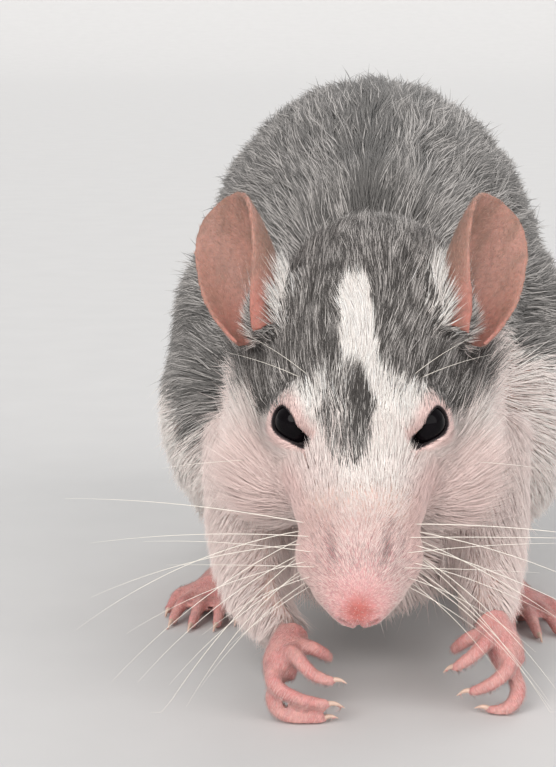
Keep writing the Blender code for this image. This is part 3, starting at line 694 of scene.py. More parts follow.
def build_skin(lookup):
    """Makes the skin, the eyes in it and what the coat needs to know of it."""
    mesh = build_skin_mesh(lookup)
    centres = [Vector(placed(centre)) for centre in EYE_CENTRES.values()] + [Vector(placed(NOSE_TIP))]
    refined(mesh, centres, [EYE_REACH * MM, EYE_REACH * MM, FACE_REACH * MM])
    points = made_points(mesh)
    near = Neighbours(mesh)
    regions = regions_at(points, lookup)
    points = sink_mouth(points, normals_of(mesh), near.spread(is_region(regions, "lower_jaw"), 3))
    points = shape_face(open_lids(points))
    set_vertices(mesh, points)
    tree = BVHTree.FromPolygons([Vector(p) for p in points], [tuple(p.vertices) for p in mesh.polygons])
    parts = {
        "regions": regions,
        "coat": near.spread(coat_table(regions), 8),
        "headness": near.spread(is_region(regions, *HEAD_REGIONS, "ear"), 10),
        "paw": near.spread(is_region(regions, "forepaw", "hind_foot"), 6),
        "ear": near.spread(is_region(regions, "ear"), 5),
        "tail": near.spread(is_region(regions, "tail"), 30),
        "by_ear": np.clip(3 * near.spread(is_region(regions, "ear"), 30), 0, 1),
    }
    out, up, forth = in_head(points).T
    floor = ease(np.abs(out), 12.2, 13.4) * ease(up, 12.4, 14.0) * ease(forth, 2, 4)
    parts["ear_floor"] = floor * parts["by_ear"] * is_region(regions, "head")
    colours, nose = skin_colours(points, parts)
    add_colour(mesh, "skin_colour", np.clip(colours, 0, 1))
    add_value(mesh, "scaly", np.clip(parts["paw"] + nose, 0, 1))
    add_value(mesh, "tail", parts["tail"])
    mesh.shade_smooth()
    finished("skin", mesh, skin_material(), "pink_skin", *FLESH)
    build_eyes(tree)
    return mesh, points, parts, tree


# Materials


def new_material(name, colour, roughness):
    material = bpy.data.materials.new(name)
    material.use_nodes = True
    shader = material.node_tree.nodes["Principled BSDF"]
    shader.inputs["Base Color"].default_value = (*colour, 1)
    shader.inputs["Roughness"].default_value = roughness
    material.diffuse_color = (*colour, 1)
    return material, material.node_tree, shader


def fill(tree, node, inputs):
    """Sets inputs of a node, each to a value or to a link from a socket."""
    for name, value in inputs.items():
        if isinstance(value, bpy.types.NodeSocket):
            tree.links.new(value, node.inputs[name])
        else:
            node.inputs[name].default_value = value


def add_node(tree, kind, inputs, **settings):
    node = tree.nodes.new(kind)
    for name, value in settings.items():
        setattr(node, name, value)
    fill(tree, node, inputs)
    return node


def math_node(tree, operation, *values):
    """The result of a Math node whose inputs are numbers or sockets."""
    return add_node(tree, "ShaderNodeMath", dict(enumerate(values)), operation=operation).outputs[0]


def shader_group(name, inputs, outputs):
    """An empty shader group with named number sockets."""
    tree = bpy.data.node_groups.new(name, "ShaderNodeTree")
    for socket in inputs:
        tree.interface.new_socket(socket, in_out="INPUT", socket_type="NodeSocketFloat")
    for socket in outputs:
        tree.interface.new_socket(socket, in_out="OUTPUT", socket_type="NodeSocketFloat")
    return tree, tree.nodes.new("NodeGroupInput"), tree.nodes.new("NodeGroupOutput")


def grain_group():
    """Fine grain from two sizes of noise: a value for colour and a height for bump."""
    tree, inward, outward = shader_group("fine_grain", ["Scale"], ["Value", "Height"])
    where = tree.nodes.new("ShaderNodeTexCoord").outputs["Object"]
    noises = []
    for factor, detail in ((1, 3), (3.6, 5)):
        scale = math_node(tree, "MULTIPLY", inward.outputs["Scale"], factor)
        inputs = {"Detail": detail, "Scale": scale, "Vector": where}
        noises.append(add_node(tree, "ShaderNodeTexNoise", inputs).outputs["Fac"])
    height = math_node(tree, "MULTIPLY_ADD", noises[1], 0.5, noises[0])
    fill(tree, outward, {"Value": noises[0], "Height": height})
    return tree


def crackle_group():
    """Small plates with creases between them, as on the bare skin of a paw."""
    tree, inward, outward = shader_group("skin_plates", ["Scale"], ["Height"])
    where = tree.nodes.new("ShaderNodeTexCoord").outputs["Object"]
    inputs = {"Scale": inward.outputs["Scale"], "Vector": where}
    cells = add_node(tree, "ShaderNodeTexVoronoi", inputs, feature="DISTANCE_TO_EDGE")
    creases = add_node(tree, "ShaderNodeMapRange", {"From Max": 0.16, "Value": cells.outputs["Distance"]})
    fill(tree, outward, {"Height": creases.outputs["Result"]})
    return tree


GRAIN = grain_group()
CRACKLE = crackle_group()


def placed_group(tree, group, scale):
    return add_node(tree, "ShaderNodeGroup", {"Scale": scale}, node_tree=group)


def attribute(tree, name, output):
    return add_node(tree, "ShaderNodeAttribute", {}, attribute_name=name).outputs[output]


def varied_colour(tree, colour, value, low, high):
    """The colour, made darker and lighter by a value of about 0 to 1."""
    inputs = {"From Min": 0.3, "From Max": 0.7, "To Min": low, "To Max": high, "Value": value}
    spread = add_node(tree, "ShaderNodeMapRange", inputs)
    inputs = {"Factor": 1, "A": colour, "B": spread.outputs["Result"]}
    return add_node(tree, "ShaderNodeMix", inputs, data_type="RGBA", blend_type="MULTIPLY").outputs["Result"]


def grained_material(name, colour, roughness, scale, low, high, height=0.0, gloss=0.5):
    """A material of one colour, or of a colour attribute, with fine grain in its colour and its surface."""
    plain = SILVER_HAIR if isinstance(colour, str) else colour
    material, tree, shader = new_material(name, plain, roughness)
    grain = placed_group(tree, GRAIN, scale)
    if isinstance(colour, str):
        base = attribute(tree, colour, "Color")
    else:
        base = tree.nodes.new("ShaderNodeRGB").outputs[0]
        base.default_value = (*colour, 1)
    varied = varied_colour(tree, base, grain.outputs["Value"], low, high)
    fill(tree, shader, {"Base Color": varied, "Specular IOR Level": gloss})
    if height:
        add_bump(tree, shader, grain.outputs["Height"], height)
    return material, tree, shader, grain


def add_bump(tree, shader, height, distance):
    """Raises the surface by a height, at most the distance in millimetres."""
    inputs = {"Strength": 0.6, "Distance": distance * MM, "Height": height}
    fill(tree, shader, {"Normal": add_node(tree, "ShaderNodeBump", inputs).outputs["Normal"]})


def skin_material():
    made = grained_material("rat_skin", "skin_colour", 0.5, 1500, 0.86, 1.1, gloss=0.38)
    material, tree, shader, grain = made
    where = tree.nodes.new("ShaderNodeTexCoord").outputs["Object"]
    inputs = {"Scale": 340, "Distortion": 1.6, "Detail": 1, "Vector": where}
    rings = add_node(tree, "ShaderNodeTexWave", inputs, bands_direction="Y").outputs["Fac"]
    tail_rings = math_node(tree, "MULTIPLY", rings, attribute(tree, "tail", "Fac"))
    height = math_node(tree, "MULTIPLY_ADD", tail_rings, 1.2, grain.outputs["Height"])
    plates = placed_group(tree, CRACKLE, 1500).outputs["Height"]
    paw_plates = math_node(tree, "MULTIPLY", plates, attribute(tree, "scaly", "Fac"))
    add_bump(tree, shader, math_node(tree, "MULTIPLY_ADD", paw_plates, 0.38, height), 0.22)
    depth = {"Subsurface Weight": 0.25, "Subsurface Radius": (1.0, 0.35, 0.2), "Subsurface Scale": 0.0012}
    fill(tree, shader, depth)
    return material


def coat_material():
    material, tree, shader = grained_material("rat_coat", "coat_colour", 0.6, 900, 0.92, 1.06, gloss=0.25)[:3]
    fill(tree, shader, {"Sheen Weight": 0.12, "Sheen Roughness": 0.5})
    return material


def eye_material():
    return grained_material("eye_gloss", EYE_GLOSS, 0.1, 700, 0.6, 1.3, gloss=0.08)[0]


def lid_material():
    return grained_material("lid_rim", LID_SKIN, 0.6, 2500, 0.7, 1.5, 0.1, gloss=0.2)[0]


def whisker_material():
    return grained_material("whisker", WHISKER, 0.35, 600, 0.94, 1.04, 0.01)[0]


def horn_material():
    return grained_material("claw_horn", HORN, 0.3, 1200, 0.85, 1.1, 0.03)[0]


# Coat


def flow(points, names):
    """The way the coat lies, by region, before it is smoothed over the skin."""
    ways = np.zeros_like(points)
    x, y, z = points.T
    none = 0 * x
    side = np.sign(x)
    from_nose = unit(points - NOSE_TIP)
    rules = {
        "torso": (none, 1 + none, -0.12 - 0.35 * (1 - ease(z, 30, 62))),
        "neck": (0.15 * side, 1 + none, 0.25 - 0.7 * (1 - ease(z, 36, 55))),
        "head": from_nose.T,
        "muzzle": from_nose.T,
        "lower_jaw": from_nose.T,
        "ear": (x - 13.5 * side, y - 14, z - 54),
        "foreleg": (0.25 * side, -0.25 + none, -1 + none),
        "forepaw": (0.3 * side, -0.7 + none, -0.7 + none),
        "thigh": (none, 0.8 + none, -0.5 + none),
        "hind_foot": (none, -1 + none, -0.05 + none),
        "tail": (none, 1 + none, none),
    }
    for name, way in rules.items():
        chosen = names == name
        ways[chosen] = unit(np.stack(way, axis=-1)[chosen])
    return ways


def around_the_eyes(points, ways, density):
    """Turns the coat away from each eye, thickens it round the lids and keeps it off the opening."""
    for side in SIDES:
        outside, height, radius = lid_distance(points, side)
        away = unit(points - EYE_CENTRES[side])
        beside = ease(height, -2.5, 0) * (1 - ease(radius, 6, 9))
        push = 1.5 * np.exp(-np.maximum(outside, 0) / 1.5) * beside
        ways += away * push[:, None]
        near_eye = (radius < 8) & (height > -2)
        density[near_eye] *= 1 + 0.5 * (1 - ease(outside[near_eye], 0.5, 3))
        density[near_eye & (outside < 0.25)] = 0


def scattered_roots(points, triangles, density, draw):
    """Evenly scattered roots: for each, its triangle and its shares of the corners."""
    corners = points[triangles]
    crossed = np.cross(corners[:, 1] - corners[:, 0], corners[:, 2] - corners[:, 0])
    expected = 0.5 * np.linalg.norm(crossed, axis=1) * density[triangles].mean(axis=1)
    total = np.cumsum(expected)
    ticks = (np.arange(COAT_TUFTS) + draw.uniform(0, 1, COAT_TUFTS)) / COAT_TUFTS * total[-1]
    chosen = np.minimum(np.searchsorted(total, ticks), len(triangles) - 1)
    a, b = draw.uniform(0, 1, (2, COAT_TUFTS))
    flip = a + b > 1
    a[flip], b[flip] = 1 - a[flip], 1 - b[flip]
    return chosen, np.stack([1 - a - b, a, b], axis=-1)


def skin_pink_and_bounce_light(root, headness):
    """How pink the white coat is: over the face, most at the muzzle, the nose and round the eyes, the pink of
    the skin shows through; on the lower cheeks, the chest and the forelegs pink bounce light is painted in.
    """
    local = in_head(root)
    x, y, z = local.T
    beside = ease(np.abs(x - 2), 3, 6)
    pink_and_bounce = (0.12 + 0.36 * ease(-y, -1, 5) * (0.45 + 0.55 * beside) + 0.5 * ease(-y, 10, 18)) * headness
    pink_and_bounce += 0.7 * hump(gap_to(NOSE_TIP, root), 0, 3.6)
    # Painted warm bounce light on the lower cheeks
    pink_and_bounce += 0.28 * headness * ease(np.abs(x), 8, 12) * ease(-z, -2, 3)
    # Painted pink bounce light on the body, most on the chest and forelegs and fading towards the back
    pink_and_bounce += (0.6 - 0.35 * ease(root[:, 1], 36, 66)) * (1 - headness)
    for side in SIDES:
        # Painted pink bounce light on each cheek
        from_bounce_light = np.linalg.norm((local - mirrored(CHEEK_BOUNCE_LIGHT, side)) / CHEEK_BOUNCE_LIGHT_REACH, axis=1)
        pink_and_bounce += 0.9 * hump(from_bounce_light, 0, 1) * headness
        outside, height, radius = lid_distance(root, side)
        pink_and_bounce += 0.8 * (1 - ease(outside, 0.6, 2.2)) * ease(height, -1.5, 0) * (1 - ease(radius, 5.5, 7))
    return np.clip(pink_and_bounce, 0, 1)


def coat_colours(root, seen, name, headness, by_ear, draw):
    """The colour of each tuft at its root and at its tip, from the markings where the tuft is seen."""
    count = len(root)
    grey, dark = markings(seen, headness)
    grey = grey * (1 - 0.8 * by_ear * ease(in_head(root)[:, 1], 9, 12))
    is_grey = draw.uniform(0, 1, count) < grey
    tone = draw.uniform(0, 1, count)
    is_dark = is_grey & (tone < dark)
    is_slate = is_grey & (tone >= dark) & (tone < dark + (1 - dark) * 0.5)
    # White hair turned pink where the skin shows through and where pink bounce light is painted
    colour = WHITE_HAIR + (skin_pink_and_bounce_light(root, headness) * 0.85)[:, None] * (PINK_HAIR - WHITE_HAIR)
    colour[is_grey] = SILVER_HAIR
    colour[is_slate] = SLATE_HAIR
    colour[is_dark] = DARK_HAIR
    calm = (0.3 * (1 - headness) * is_grey)[:, None]
    colour = colour + calm * (MIDDLE_GREY - colour)
    local = in_head(root)
    x, y, z = local.T
    pad = hump(np.abs(x), 5.4, 2.4) * hump(y, -18.6, 3.6)
    bridge = hump(x, 0, 3.4) * hump(y, -21.0, 1.8)
    freckles = 0.4 * pad * ease(ripple(root, 0.6, 71), 0.1, 0.8)
    # Freckle hairs along each whisker pad's crease and on the bridge of the nose: partly dark follicle lines,
    # partly painted shade where the fur parts
    freckles += 0.45 * crease_mark(local, 1.0) + 0.3 * bridge
    colour[draw.uniform(0, 1, count) < freckles * headness] = FRECKLE_HAIR
    # Painted shade along each crease where the fur parts, and the coat a little darker towards the nose
    near_nose = hump(gap_to(NOSE_TIP, root), 0, 4)
    shade = (1 - 0.4 * crease_mark(local, 0.55) * headness) * (1 - 0.12 * near_nose)
    colour = colour * shade[:, None]
    colour[np.isin(name, BARE_REGIONS)] = DOWN_HAIR
    colour[name == "ear"] = EAR_DOWN
    brown = ripple(root, 2.4, 61) + 0.6 * ease(root[:, 2], 62, 70) + draw.normal(0, 0.5, count)
    colour[(name == "ear") & (brown + 0.9 * ear_fuzz(root) > 0.55)] = UMBER_HAIR
    colour = colour * draw.uniform(0.84, 1.1, count)[:, None]
    roots = colour * np.where(is_grey, 0.74, 0.96)[:, None]
    tips = colour * np.where(is_dark, 1.5, 1.06)[:, None]
    return np.clip(roots, 0, 0.95), np.clip(tips, 0, 0.95)


def gather_locks(root, second, tip, length, name, draw):
    """Leans each tip towards the tip of the nearest leading tuft, so that the coat lies in locks."""
    count = len(root)
    leading = np.where(np.isin(name, HEAD_REGIONS), 0.16, 0.07)
    lead = np.flatnonzero(draw.uniform(0, 1, count) < leading)
    tree = KDTree(len(lead))
    for index, tuft in enumerate(lead):
        tree.insert(root[tuft], index)
    tree.balance()
    leader = lead[[tree.find(place)[1] for place in root]]
    pull = draw.uniform(0.1, 0.55, count) * ~np.isin(name, BARE_REGIONS)
    pull *= np.where(np.isin(name, ("foreleg", *TRUNK_REGIONS)), 0.7, 1)
    pull = pull * (np.linalg.norm(tip[leader] - tip, axis=1) < 0.8 * length)
    lean = (tip[leader] - tip) * pull[:, None]
    tip += lean
    second += 0.35 * lean


def tuft_mesh(name, tufts, cells):
    """Closed tufts of six faces each: a point in the skin, a ring of three and a point at the tip."""
    first, second, tip, width, across, over, normal, roots, tips = tufts
    count = len(first)
    turns = 2 * math.pi * np.arange(3) / 3 + math.pi / 2
    offsets = [across * math.cos(turn) + over * 0.6 * math.sin(turn) for turn in turns]
    ring = [second + offset * (0.5 * width)[:, None] for offset in offsets]
    points = np.stack([first, *ring, tip], axis=1).reshape(-1, 3)
    sides = [unit(0.5 * offset + 0.75 * normal) for offset in offsets]
    shades = np.stack([normal, *sides, unit(0.4 * over + normal)], axis=1).reshape(-1, 3)
    pattern = np.array([(1, 2, 0), (2, 3, 0), (3, 1, 0), (2, 1, 4), (3, 2, 4), (1, 3, 4)])
    faces = (np.arange(count)[:, None, None] * 5 + pattern[None]).reshape(-1, 3)
    mesh = bpy.data.meshes.new(name)
    mesh.vertices.add(len(points))
    mesh.vertices.foreach_set("co", placed(points).astype(np.float32).ravel())
    mesh.loops.add(faces.size)
    mesh.loops.foreach_set("vertex_index", faces.astype(np.int32).ravel())
    mesh.polygons.add(len(faces))
    mesh.polygons.foreach_set("loop_start", np.arange(0, faces.size, 3, dtype=np.int32))
    mesh.shade_smooth()
    mesh.update(calc_edges=True)
    mesh.normals_split_custom_set_from_vertices(shades)
    bend = roots + (tips - roots) * 0.5
    add_colour(mesh, "coat_colour", np.stack([roots, bend, bend, bend, tips], axis=1).reshape(-1, 3))
    corner = np.array((0, -0.5, 0, 0.5, 0)) * UV_PATCH
    climb = np.array((-0.5, -0.1, 0, -0.1, 0.5)) * UV_PATCH
    uv = np.stack([cells[:, :1] + corner[None], cells[:, 1:] + climb[None]], axis=-1)
    layer = mesh.uv_layers.new(name="OFBake")
    layer.data.foreach_set("uv", uv.reshape(-1, 2)[faces.ravel()].astype(np.float32).ravel())
    return mesh


def unwrapped(around, along):
    """Evenly spread places on an unwrap of the skin: rows along the body, with the turn round it in each."""
    rows = max(1, int(math.sqrt(len(around))))
    cells = np.empty((len(around), 2))
    for row, members in enumerate(np.array_split(np.argsort(along, kind="stable"), rows)):
        ranked = members[np.argsort(around[members], kind="stable")]
        cells[ranked, 0] = (np.arange(len(ranked)) + 0.5) / len(ranked)
        cells[ranked, 1] = (row + 0.5) / rows
    return 0.01 + 0.98 * cells


def clear_of_eyes(second, tip):
    """Which tufts lie over neither eye."""
    clear = np.ones(len(tip), dtype=bool)
    for side in SIDES:
        for place in (second, (second + tip) / 2, tip):
            outside, height, radius = lid_distance(place, side)
            clear &= ~((outside < 0.1) & (height > -1.5) & (radius < 8))
    return clear


def coat_pieces(tufts, root, name, clear):
    """Puts the tufts in the scene, cut into pieces side by side round the body."""
    material = coat_material()
    groups = (
        ("head", HEAD_REGIONS, "white_coat"),
        ("trunk", TRUNK_REGIONS, "grey_coat"),
        ("limbs", LIMB_REGIONS, "white_coat"),
        ("down", BARE_REGIONS, "white_coat"),
    )
    for group, members, slot in groups:
        chosen = np.flatnonzero(clear & np.isin(name, members))
        offset = root[chosen] - TRUNK_CORE
        if group == "head":
            offset = in_head(root[chosen]) - HEAD_CORE
        around = np.arctan2(offset[:, 0], offset[:, 2])
        chunks = max(1, math.ceil(len(chosen) / TUFTS_IN_A_PIECE))
        for number, part in enumerate(np.array_split(np.argsort(around, kind="stable"), chunks)):
            cells = unwrapped(around[part], offset[part, 1])
            piece = "coat_%s_%d" % (group, number + 1)
            made = tuft_mesh(piece, [values[chosen[part]] for values in tufts], cells)
            finished(piece, made, material, slot)


def tuft_sizes(root, coat, name, by_ear, draw):
    """Length, width and lift of each tuft: shorter by the eyes and the nose, longer on the cheeks."""
    count = len(root)
    length = coat[:, 1] * draw.uniform(0.72, 1.18, count)
    width = coat[:, 3] * draw.uniform(0.7, 1.15, count)
    lift = np.radians(coat[:, 4]) * draw.uniform(0.7, 1.5, count)
    guard = (draw.uniform(0, 1, count) < GUARD_SHARE) & np.isin(name, ("head", "thigh", *TRUNK_REGIONS))
    length = length * np.where(guard, 1.35, 1)
    width = width * np.where(guard, 0.75, 1)
    lift = lift + np.where(guard, 0.2, 0)
    length = length * (0.4 + 0.6 * ease(gap_to(NOSE_TIP, root), 3, 9))
    for side in SIDES:
        outside, height, radius = lid_distance(root, side)
        close = (1 - ease(outside, 0.2, 4.0)) * ease(height, -2, 0) * (1 - ease(radius, 7, 9))
        length = length * (1 - 0.62 * close)
        lift = lift * (1 - 0.5 * close)
    x, y, z = in_head(root).T
    cheek = ease(np.abs(x), 8, 13) * ease(-z, 2, 7) * (name == "head")
    length = length * (1 + 1.25 * cheek + 0.1 * by_ear + 0.8 * by_ear * ease(z, 0.5, 2.5))
    lift = lift * (1 + 0.45 * cheek + 0.6 * by_ear)
    return length, width, lift


def build_coat(mesh, points, parts):
    """The coat: every tuft grows from the skin, lies along it and leans into its neighbours' lock."""
    draw = np.random.default_rng(SEED)
    near = Neighbours(mesh)
    names = np.array(REGION_NAMES)[parts["regions"]]
    ways = near.spread(flow(points, names), 14)
    beside_ear = parts["by_ear"] * (1 - ease(np.abs(points[:, 0]), 12.6, 14.0)) * (names == "head")
    ways[:, 0] += 0.75 * np.sign(points[:, 0]) * beside_ear
    normals = normals_of(mesh)
    density = parts["coat"][:, 2].copy()
    around_the_eyes(points, ways, density)
    density *= 1 - 0.8 * parts["ear_floor"]
    density *= 0.22 + 0.78 * ease(gap_to(NOSE_TIP, points), 1.6, 3.4)
    density[points[:, 2] < 0.5] = 0
    triangles = np.array([tuple(polygon.vertices) for polygon in mesh.polygons])
    chosen, shares = scattered_roots(points, triangles, density, draw)
    corners = triangles[chosen]

    def carried(values):
        columns = values.reshape(len(values), -1)
        out = np.einsum("nk,nkc->nc", shares, columns[corners])
        return out if values.ndim > 1 else out[:, 0]

    root, normal, way = carried(points), unit(carried(normals)), carried(ways)
    name = names[corners[:, 0]]
    headness = carried(parts["headness"])
    by_ear = carried(parts["by_ear"]) * (name == "head")

    # Lie: along the surface, with a small turn of each tuft's own and a wider sway shared by its neighbours
    way = square_to(normal, way)
    turn = draw.normal(0, 0.15, len(root)) + 0.22 * ripple(root, 4, 51)
    way = unit(way * np.cos(turn)[:, None] + np.cross(way, normal) * np.sin(turn)[:, None])
    across = np.cross(way, normal)
    length, width, lift = tuft_sizes(root, carried(parts["coat"]), name, by_ear, draw)
    rise = way * np.cos(lift)[:, None] + normal * np.sin(lift)[:, None]
    level = way * np.cos(0.35 * lift)[:, None] + normal * np.sin(0.35 * lift)[:, None]
    first = root - rise * ROOT_DEPTH
    second = first + rise * (TUFT_BEND * length)[:, None]
    tip = second + level * ((1 - TUFT_BEND) * length)[:, None]
    gather_locks(root, second, tip, length, name, draw)
    tip[:, 2] = np.maximum(tip[:, 2], TUFT_FLOOR)
    second[:, 2] = np.maximum(second[:, 2], TUFT_FLOOR)
    roots, tips = coat_colours(root, second + 0.5 * (tip - second), name, headness, by_ear, draw)
    over = np.cross(across, rise)
    tufts = (first, second, tip, width, across, over, normal, roots, tips)
    coat_pieces(tufts, root, name, clear_of_eyes(second, tip))


# Whiskers and claws, swept along paths

# Each row of whiskers: its level in the head's frame and how many it holds
WHISKER_ROWS = ((-2.4, 4), (-4.4, 4), (-6.4, 4), (-8.4, 3))

# Whiskers over the eyes and on the cheeks: root in the head's frame, the way that each points and its length
LONE_WHISKERS = (
    ((7.4, 4.8, 5.3), (0.85, -0.35, 0.8), 13),
    ((8.6, 5.2, 4.2), (1.0, -0.3, 0.55), 11),
    ((13.5, -2.5, -6.5), (0.9, -0.5, 0.1), 15),
)
WHISKER_LENGTH = 43
WHISKER_FIRST = -13.6
WHISKER_STEP = -2.3
WHISKER_POINTS = 15
WHISKER_FLOOR = 0.4

# Root and tip of each claw of the forepaws, then each hind foot's side and heel, and its toes from the heel
FOREPAW_CLAWS = (
    ((-3.9, 0.1, 6.2), (-1.6, 0.7, 5.7)), ((-4.6, -0.4, 3.0), (-1.9, 0.2, 2.3)),
    ((-5.2, 0.4, 0.6), (-2.8, 0.9, 0.6)), ((-4.2, 6.5, 7.8), (-3.9, 8.1, 6.6)),
    ((13.8, 5.3, 6.9), (12.0, 6.0, 5.9)), ((16.2, 5.0, 3.5), (13.9, 5.7, 2.6)),
    ((18.8, 5.6, 0.6), (16.5, 6.1, 0.7)), ((13.8, 11.5, 7.8), (13.6, 13.1, 6.8)),
)
HIND_FEET = ((-1, (-19.0, 89.0, 0.0)), (1, (20.5, 85.0, 0.0)))
HIND_FOOT_TURN = math.radians(11.5)
TOE_TIPS = (
    (-6.4, -34.5, 0.85), (-3.9, -38.6, 0.85), (0.0, -39.8, 0.85), (3.7, -38.2, 0.85), (6.2, -31.4, 0.85),
)
TOE_CLAW = np.array((0.0, -2.6, -0.7))
CLAW_POINTS = 7
CLAW_RADIUS = 0.40
CLAW_ARCH = 0.38


def swept_tree():
    """A tree that sweeps a closed round rod along each path. The path's points carry their own radius."""
    tree = bpy.data.node_groups.new("swept_rods", "GeometryNodeTree")
    sockets = {"Paths": "Geometry", "Thickness": "Float", "Sides": "Int", "Finish": "Material"}
    for name, kind in sockets.items():
        tree.interface.new_socket(name, in_out="INPUT", socket_type="NodeSocket" + kind)
    tree.interface.new_socket("Rods", in_out="OUTPUT", socket_type="NodeSocketGeometry")
    inward, outward = tree.nodes.new("NodeGroupInput").outputs, tree.nodes.new("NodeGroupOutput")
    taper = add_node(tree, "GeometryNodeInputNamedAttribute", {"Name": "rod_radius"}, data_type="FLOAT")
    radius = math_node(tree, "MULTIPLY", taper.outputs["Attribute"], inward["Thickness"])
    curves = add_node(tree, "GeometryNodeMeshToCurve", {"Mesh": inward["Paths"]}).outputs["Curve"]
    inputs = {"Radius": 1, "Resolution": inward["Sides"]}
    profile = add_node(tree, "GeometryNodeCurvePrimitiveCircle", inputs).outputs["Curve"]
    inputs = {"Curve": curves, "Profile Curve": profile, "Scale": radius, "Fill Caps": True}
    rods = add_node(tree, "GeometryNodeCurveToMesh", inputs)
    real = add_node(tree, "GeometryNodeRealizeInstances", {"Geometry": rods.outputs["Mesh"]})
    inputs = {"Geometry": real.outputs["Geometry"], "Material": inward["Finish"]}
    painted = add_node(tree, "GeometryNodeSetMaterial", inputs)
    fill(tree, outward, {"Rods": painted.outputs["Geometry"]})
    return tree


def swept(name, paths, radii, sides, material, slot):
    """One piece with a rod along each path, from the path's own radii in millimetres."""
    mesh = bpy.data.meshes.new(name)
    edges = []
    start = 0
    for path in paths:
        edges += [(start + step, start + step + 1) for step in range(len(path) - 1)]
        start += len(path)
    mesh.from_pydata([tuple(point) for point in placed(np.concatenate(paths))], edges, [])
    add_value(mesh, "rod_radius", np.concatenate(radii) * MM)
    obj = linked_object(name, mesh)
    modifier = obj.modifiers.new("swept", "NODES")
    modifier.node_group = SWEPT
    sockets = {item.name: item.identifier for item in SWEPT.interface.items_tree if item.in_out == "INPUT"}
    modifier[sockets["Thickness"]] = 1.0
    modifier[sockets["Sides"]] = sides
    modifier[sockets["Finish"]] = material
    made = recalculated(evaluated_mesh(obj))
    made.shade_smooth()
    return finished(name, made, material, slot)


def curved_path(root, way, length, bend, count):
    """A path that starts along a way and is bent more and more towards its tip."""
    share = np.linspace(0, 1, count)[:, None]
    path = root + unit(np.array(way)) * length * share + np.array(bend) * length * share ** 2
    path[:, 2] = np.maximum(path[:, 2], WHISKER_FLOOR)
    return path


def whisker_paths(tree, draw):
    """The whiskers of both pads, a few above each eye and on each cheek, and the radii along them."""
    paths, radii = [], []
    share = np.linspace(0, 1, WHISKER_POINTS)
    for side in SIDES:
        for row, (level, columns) in enumerate(WHISKER_ROWS):
            for column in range(columns):
                spot = (6.5, WHISKER_FIRST + WHISKER_STEP * column - 0.5 * row, level)
                root, normal = tree.find_nearest(Vector(HEAD_ORIGIN + from_head(mirrored(spot, side))))[:2]
                length = (WHISKER_LENGTH - 5.5 * column - 3.5 * row) * draw.uniform(0.8, 1.0)
                forth = -0.15 - 0.16 * column + draw.normal(0, 0.08)
                way = (side, forth, 0.16 - 0.27 * row + draw.normal(0, 0.07))
                bend = (-0.05 * side, 0.10 + 0.04 * column, -0.10 - 0.07 * row + draw.normal(0, 0.05))
                paths.append(curved_path(np.array(root - 0.3 * normal), way, length, bend, WHISKER_POINTS))
                radii.append((0.060 - 0.007 * column) * (1 - share ** 1.3) + 0.008)
        for spot, way, length in LONE_WHISKERS:
            root, normal = tree.find_nearest(Vector(HEAD_ORIGIN + from_head(mirrored(spot, side))))[:2]
            bend = (0.1 * side, 0.16, -0.12)
            start = np.array(root - 0.3 * normal)
            paths.append(curved_path(start, mirrored(way, side), length, bend, WHISKER_POINTS))
            radii.append(0.036 * (1 - share ** 1.3) + 0.008)
    return paths, radii


def claw_paths():
    """The claws, from inside each digit's tip along a curve that turns down, and the radii along them."""
    claws = [(np.array(root), np.array(tip)) for root, tip in FOREPAW_CLAWS]
    for side, heel in HIND_FEET:
        c, s = math.cos(HIND_FOOT_TURN * side), math.sin(HIND_FOOT_TURN * side)
        for toe in TOE_TIPS:
            ends = []
            for x, y, z in (np.array(toe), np.array(toe) + TOE_CLAW):
                ends.append(np.array(heel) + (side * x * c - y * s, side * x * s + y * c, z))
            claws.append(tuple(ends))
    share = np.linspace(0, 1, CLAW_POINTS)
    paths, radii = [], []
    for root, tip in claws:
        arch = np.sin(share * math.pi)[:, None] * (0, 0, CLAW_ARCH)
        paths.append(root + (tip - root) * share[:, None] + arch)
        radii.append(CLAW_RADIUS * (1 - share ** 1.5) + 0.05)
    return paths, radii


def build_whiskers_and_claws(tree):
    paths, radii = whisker_paths(tree, np.random.default_rng(SEED + 1))
    swept("whiskers", paths, radii, 6, whisker_material(), "white_coat")
    paths, radii = claw_paths()
    swept("claws", paths, radii, 10, horn_material(), "pink_skin")


# Studio

FLAT_RINGS = 6
COVE_RINGS = 24
FLOOR_SECTORS = 96
FLOOR_RADIUS = 3600
FLOOR_DROP = 0.02
COVE_RADIUS = 3000
COVE_ARC = math.radians(46)
CAMERA_PLACE = (0, -310, 97)
CAMERA_TURN = math.radians(2.07)
CAMERA_DIP = math.radians(8.95)
PICTURE_HEIGHT = 767
CAMERA_REACH = 2300
SENSOR_WIDTH = 36

# Name, place, strength, softness in degrees and colour of each light
LIGHTS = (
    ("key", (-240, -500, 370), 2.05, 40, (1, 0.975, 0.955)),
    ("fill", (400, -460, 240), 1.7, 60, (1, 0.975, 0.965)),
    ("rim", (120, 460, 420), 0.7, 40, (1, 1, 1)),
)


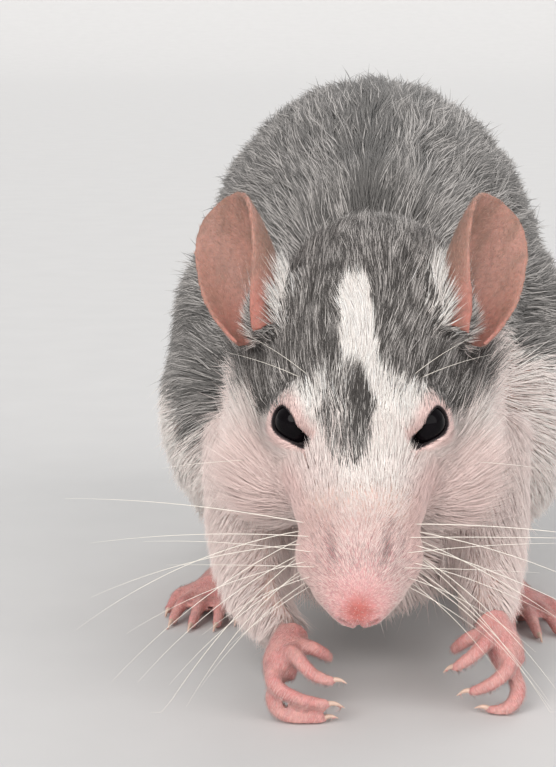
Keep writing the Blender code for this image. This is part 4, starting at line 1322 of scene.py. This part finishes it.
def floor_mesh():
    """A flat round floor whose edge curves up into a low wall, so that no horizon shows."""
    rings = [(FLOOR_RADIUS * (step + 1) / FLAT_RINGS, 0) for step in range(FLAT_RINGS)]
    for step in range(1, COVE_RINGS + 1):
        turn = COVE_ARC * step / COVE_RINGS
        rings.append((FLOOR_RADIUS + COVE_RADIUS * math.sin(turn), COVE_RADIUS * (1 - math.cos(turn))))
    points = [(0, 0, -FLOOR_DROP)]
    for radius, height in rings:
        for sector in range(FLOOR_SECTORS):
            turn = 2 * math.pi * sector / FLOOR_SECTORS
            points.append((radius * math.cos(turn), radius * math.sin(turn), height - FLOOR_DROP))
    polygons = []
    for sector in range(FLOOR_SECTORS):
        other = (sector + 1) % FLOOR_SECTORS
        polygons.append((0, 1 + sector, 1 + other))
        for ring in range(len(rings) - 1):
            near, far = 1 + ring * FLOOR_SECTORS, 1 + (ring + 1) * FLOOR_SECTORS
            polygons.append((near + sector, far + sector, far + other, near + other))
    return mesh_of("floor", points, polygons)


def sun(name, place, strength, spread, colour):
    """A soft light from far away, shining from a place towards the rat."""
    lamp = bpy.data.lights.new(name, "SUN")
    lamp.energy = strength
    lamp.angle = math.radians(spread)
    lamp.color = colour
    obj = linked_object(name, lamp)
    obj.location = placed(place)
    obj.rotation_euler = (-Vector(place)).to_track_quat("-Z", "Y").to_euler()


def build_studio():
    scene = bpy.context.scene
    camera_data = bpy.data.cameras.new("camera")
    camera_data.sensor_width = SENSOR_WIDTH
    camera_data.lens = CAMERA_REACH / PICTURE_HEIGHT * SENSOR_WIDTH
    camera_data.clip_start = 0.01
    camera = linked_object("camera", camera_data)
    camera.location = placed(CAMERA_PLACE)
    across, down = math.cos(CAMERA_DIP), -math.sin(CAMERA_DIP)
    look = Vector((-math.sin(CAMERA_TURN) * across, math.cos(CAMERA_TURN) * across, down))
    camera.rotation_euler = look.to_track_quat("-Z", "Y").to_euler()
    scene.camera = camera
    scene.view_settings.view_transform = "Standard"

    floor = linked_object("floor", floor_mesh())
    floor.data.materials.append(grained_material("pale_floor", PALE_FLOOR, 0.75, 60, 0.985, 1.015)[0])

    for light in LIGHTS:
        sun(*light)
    world = bpy.data.worlds.new("soft_room")
    world.use_nodes = True
    sky = world.node_tree.nodes["Background"]
    sky.inputs["Color"].default_value = (0.96, 0.97, 0.98, 1)
    sky.inputs["Strength"].default_value = 0.45
    scene.world = world


SWEPT = swept_tree()
skin_mesh, skin_points, skin_parts, skin_tree = build_skin(flesh_lookup())
build_coat(skin_mesh, skin_points, skin_parts)
build_whiskers_and_claws(skin_tree)
build_studio()
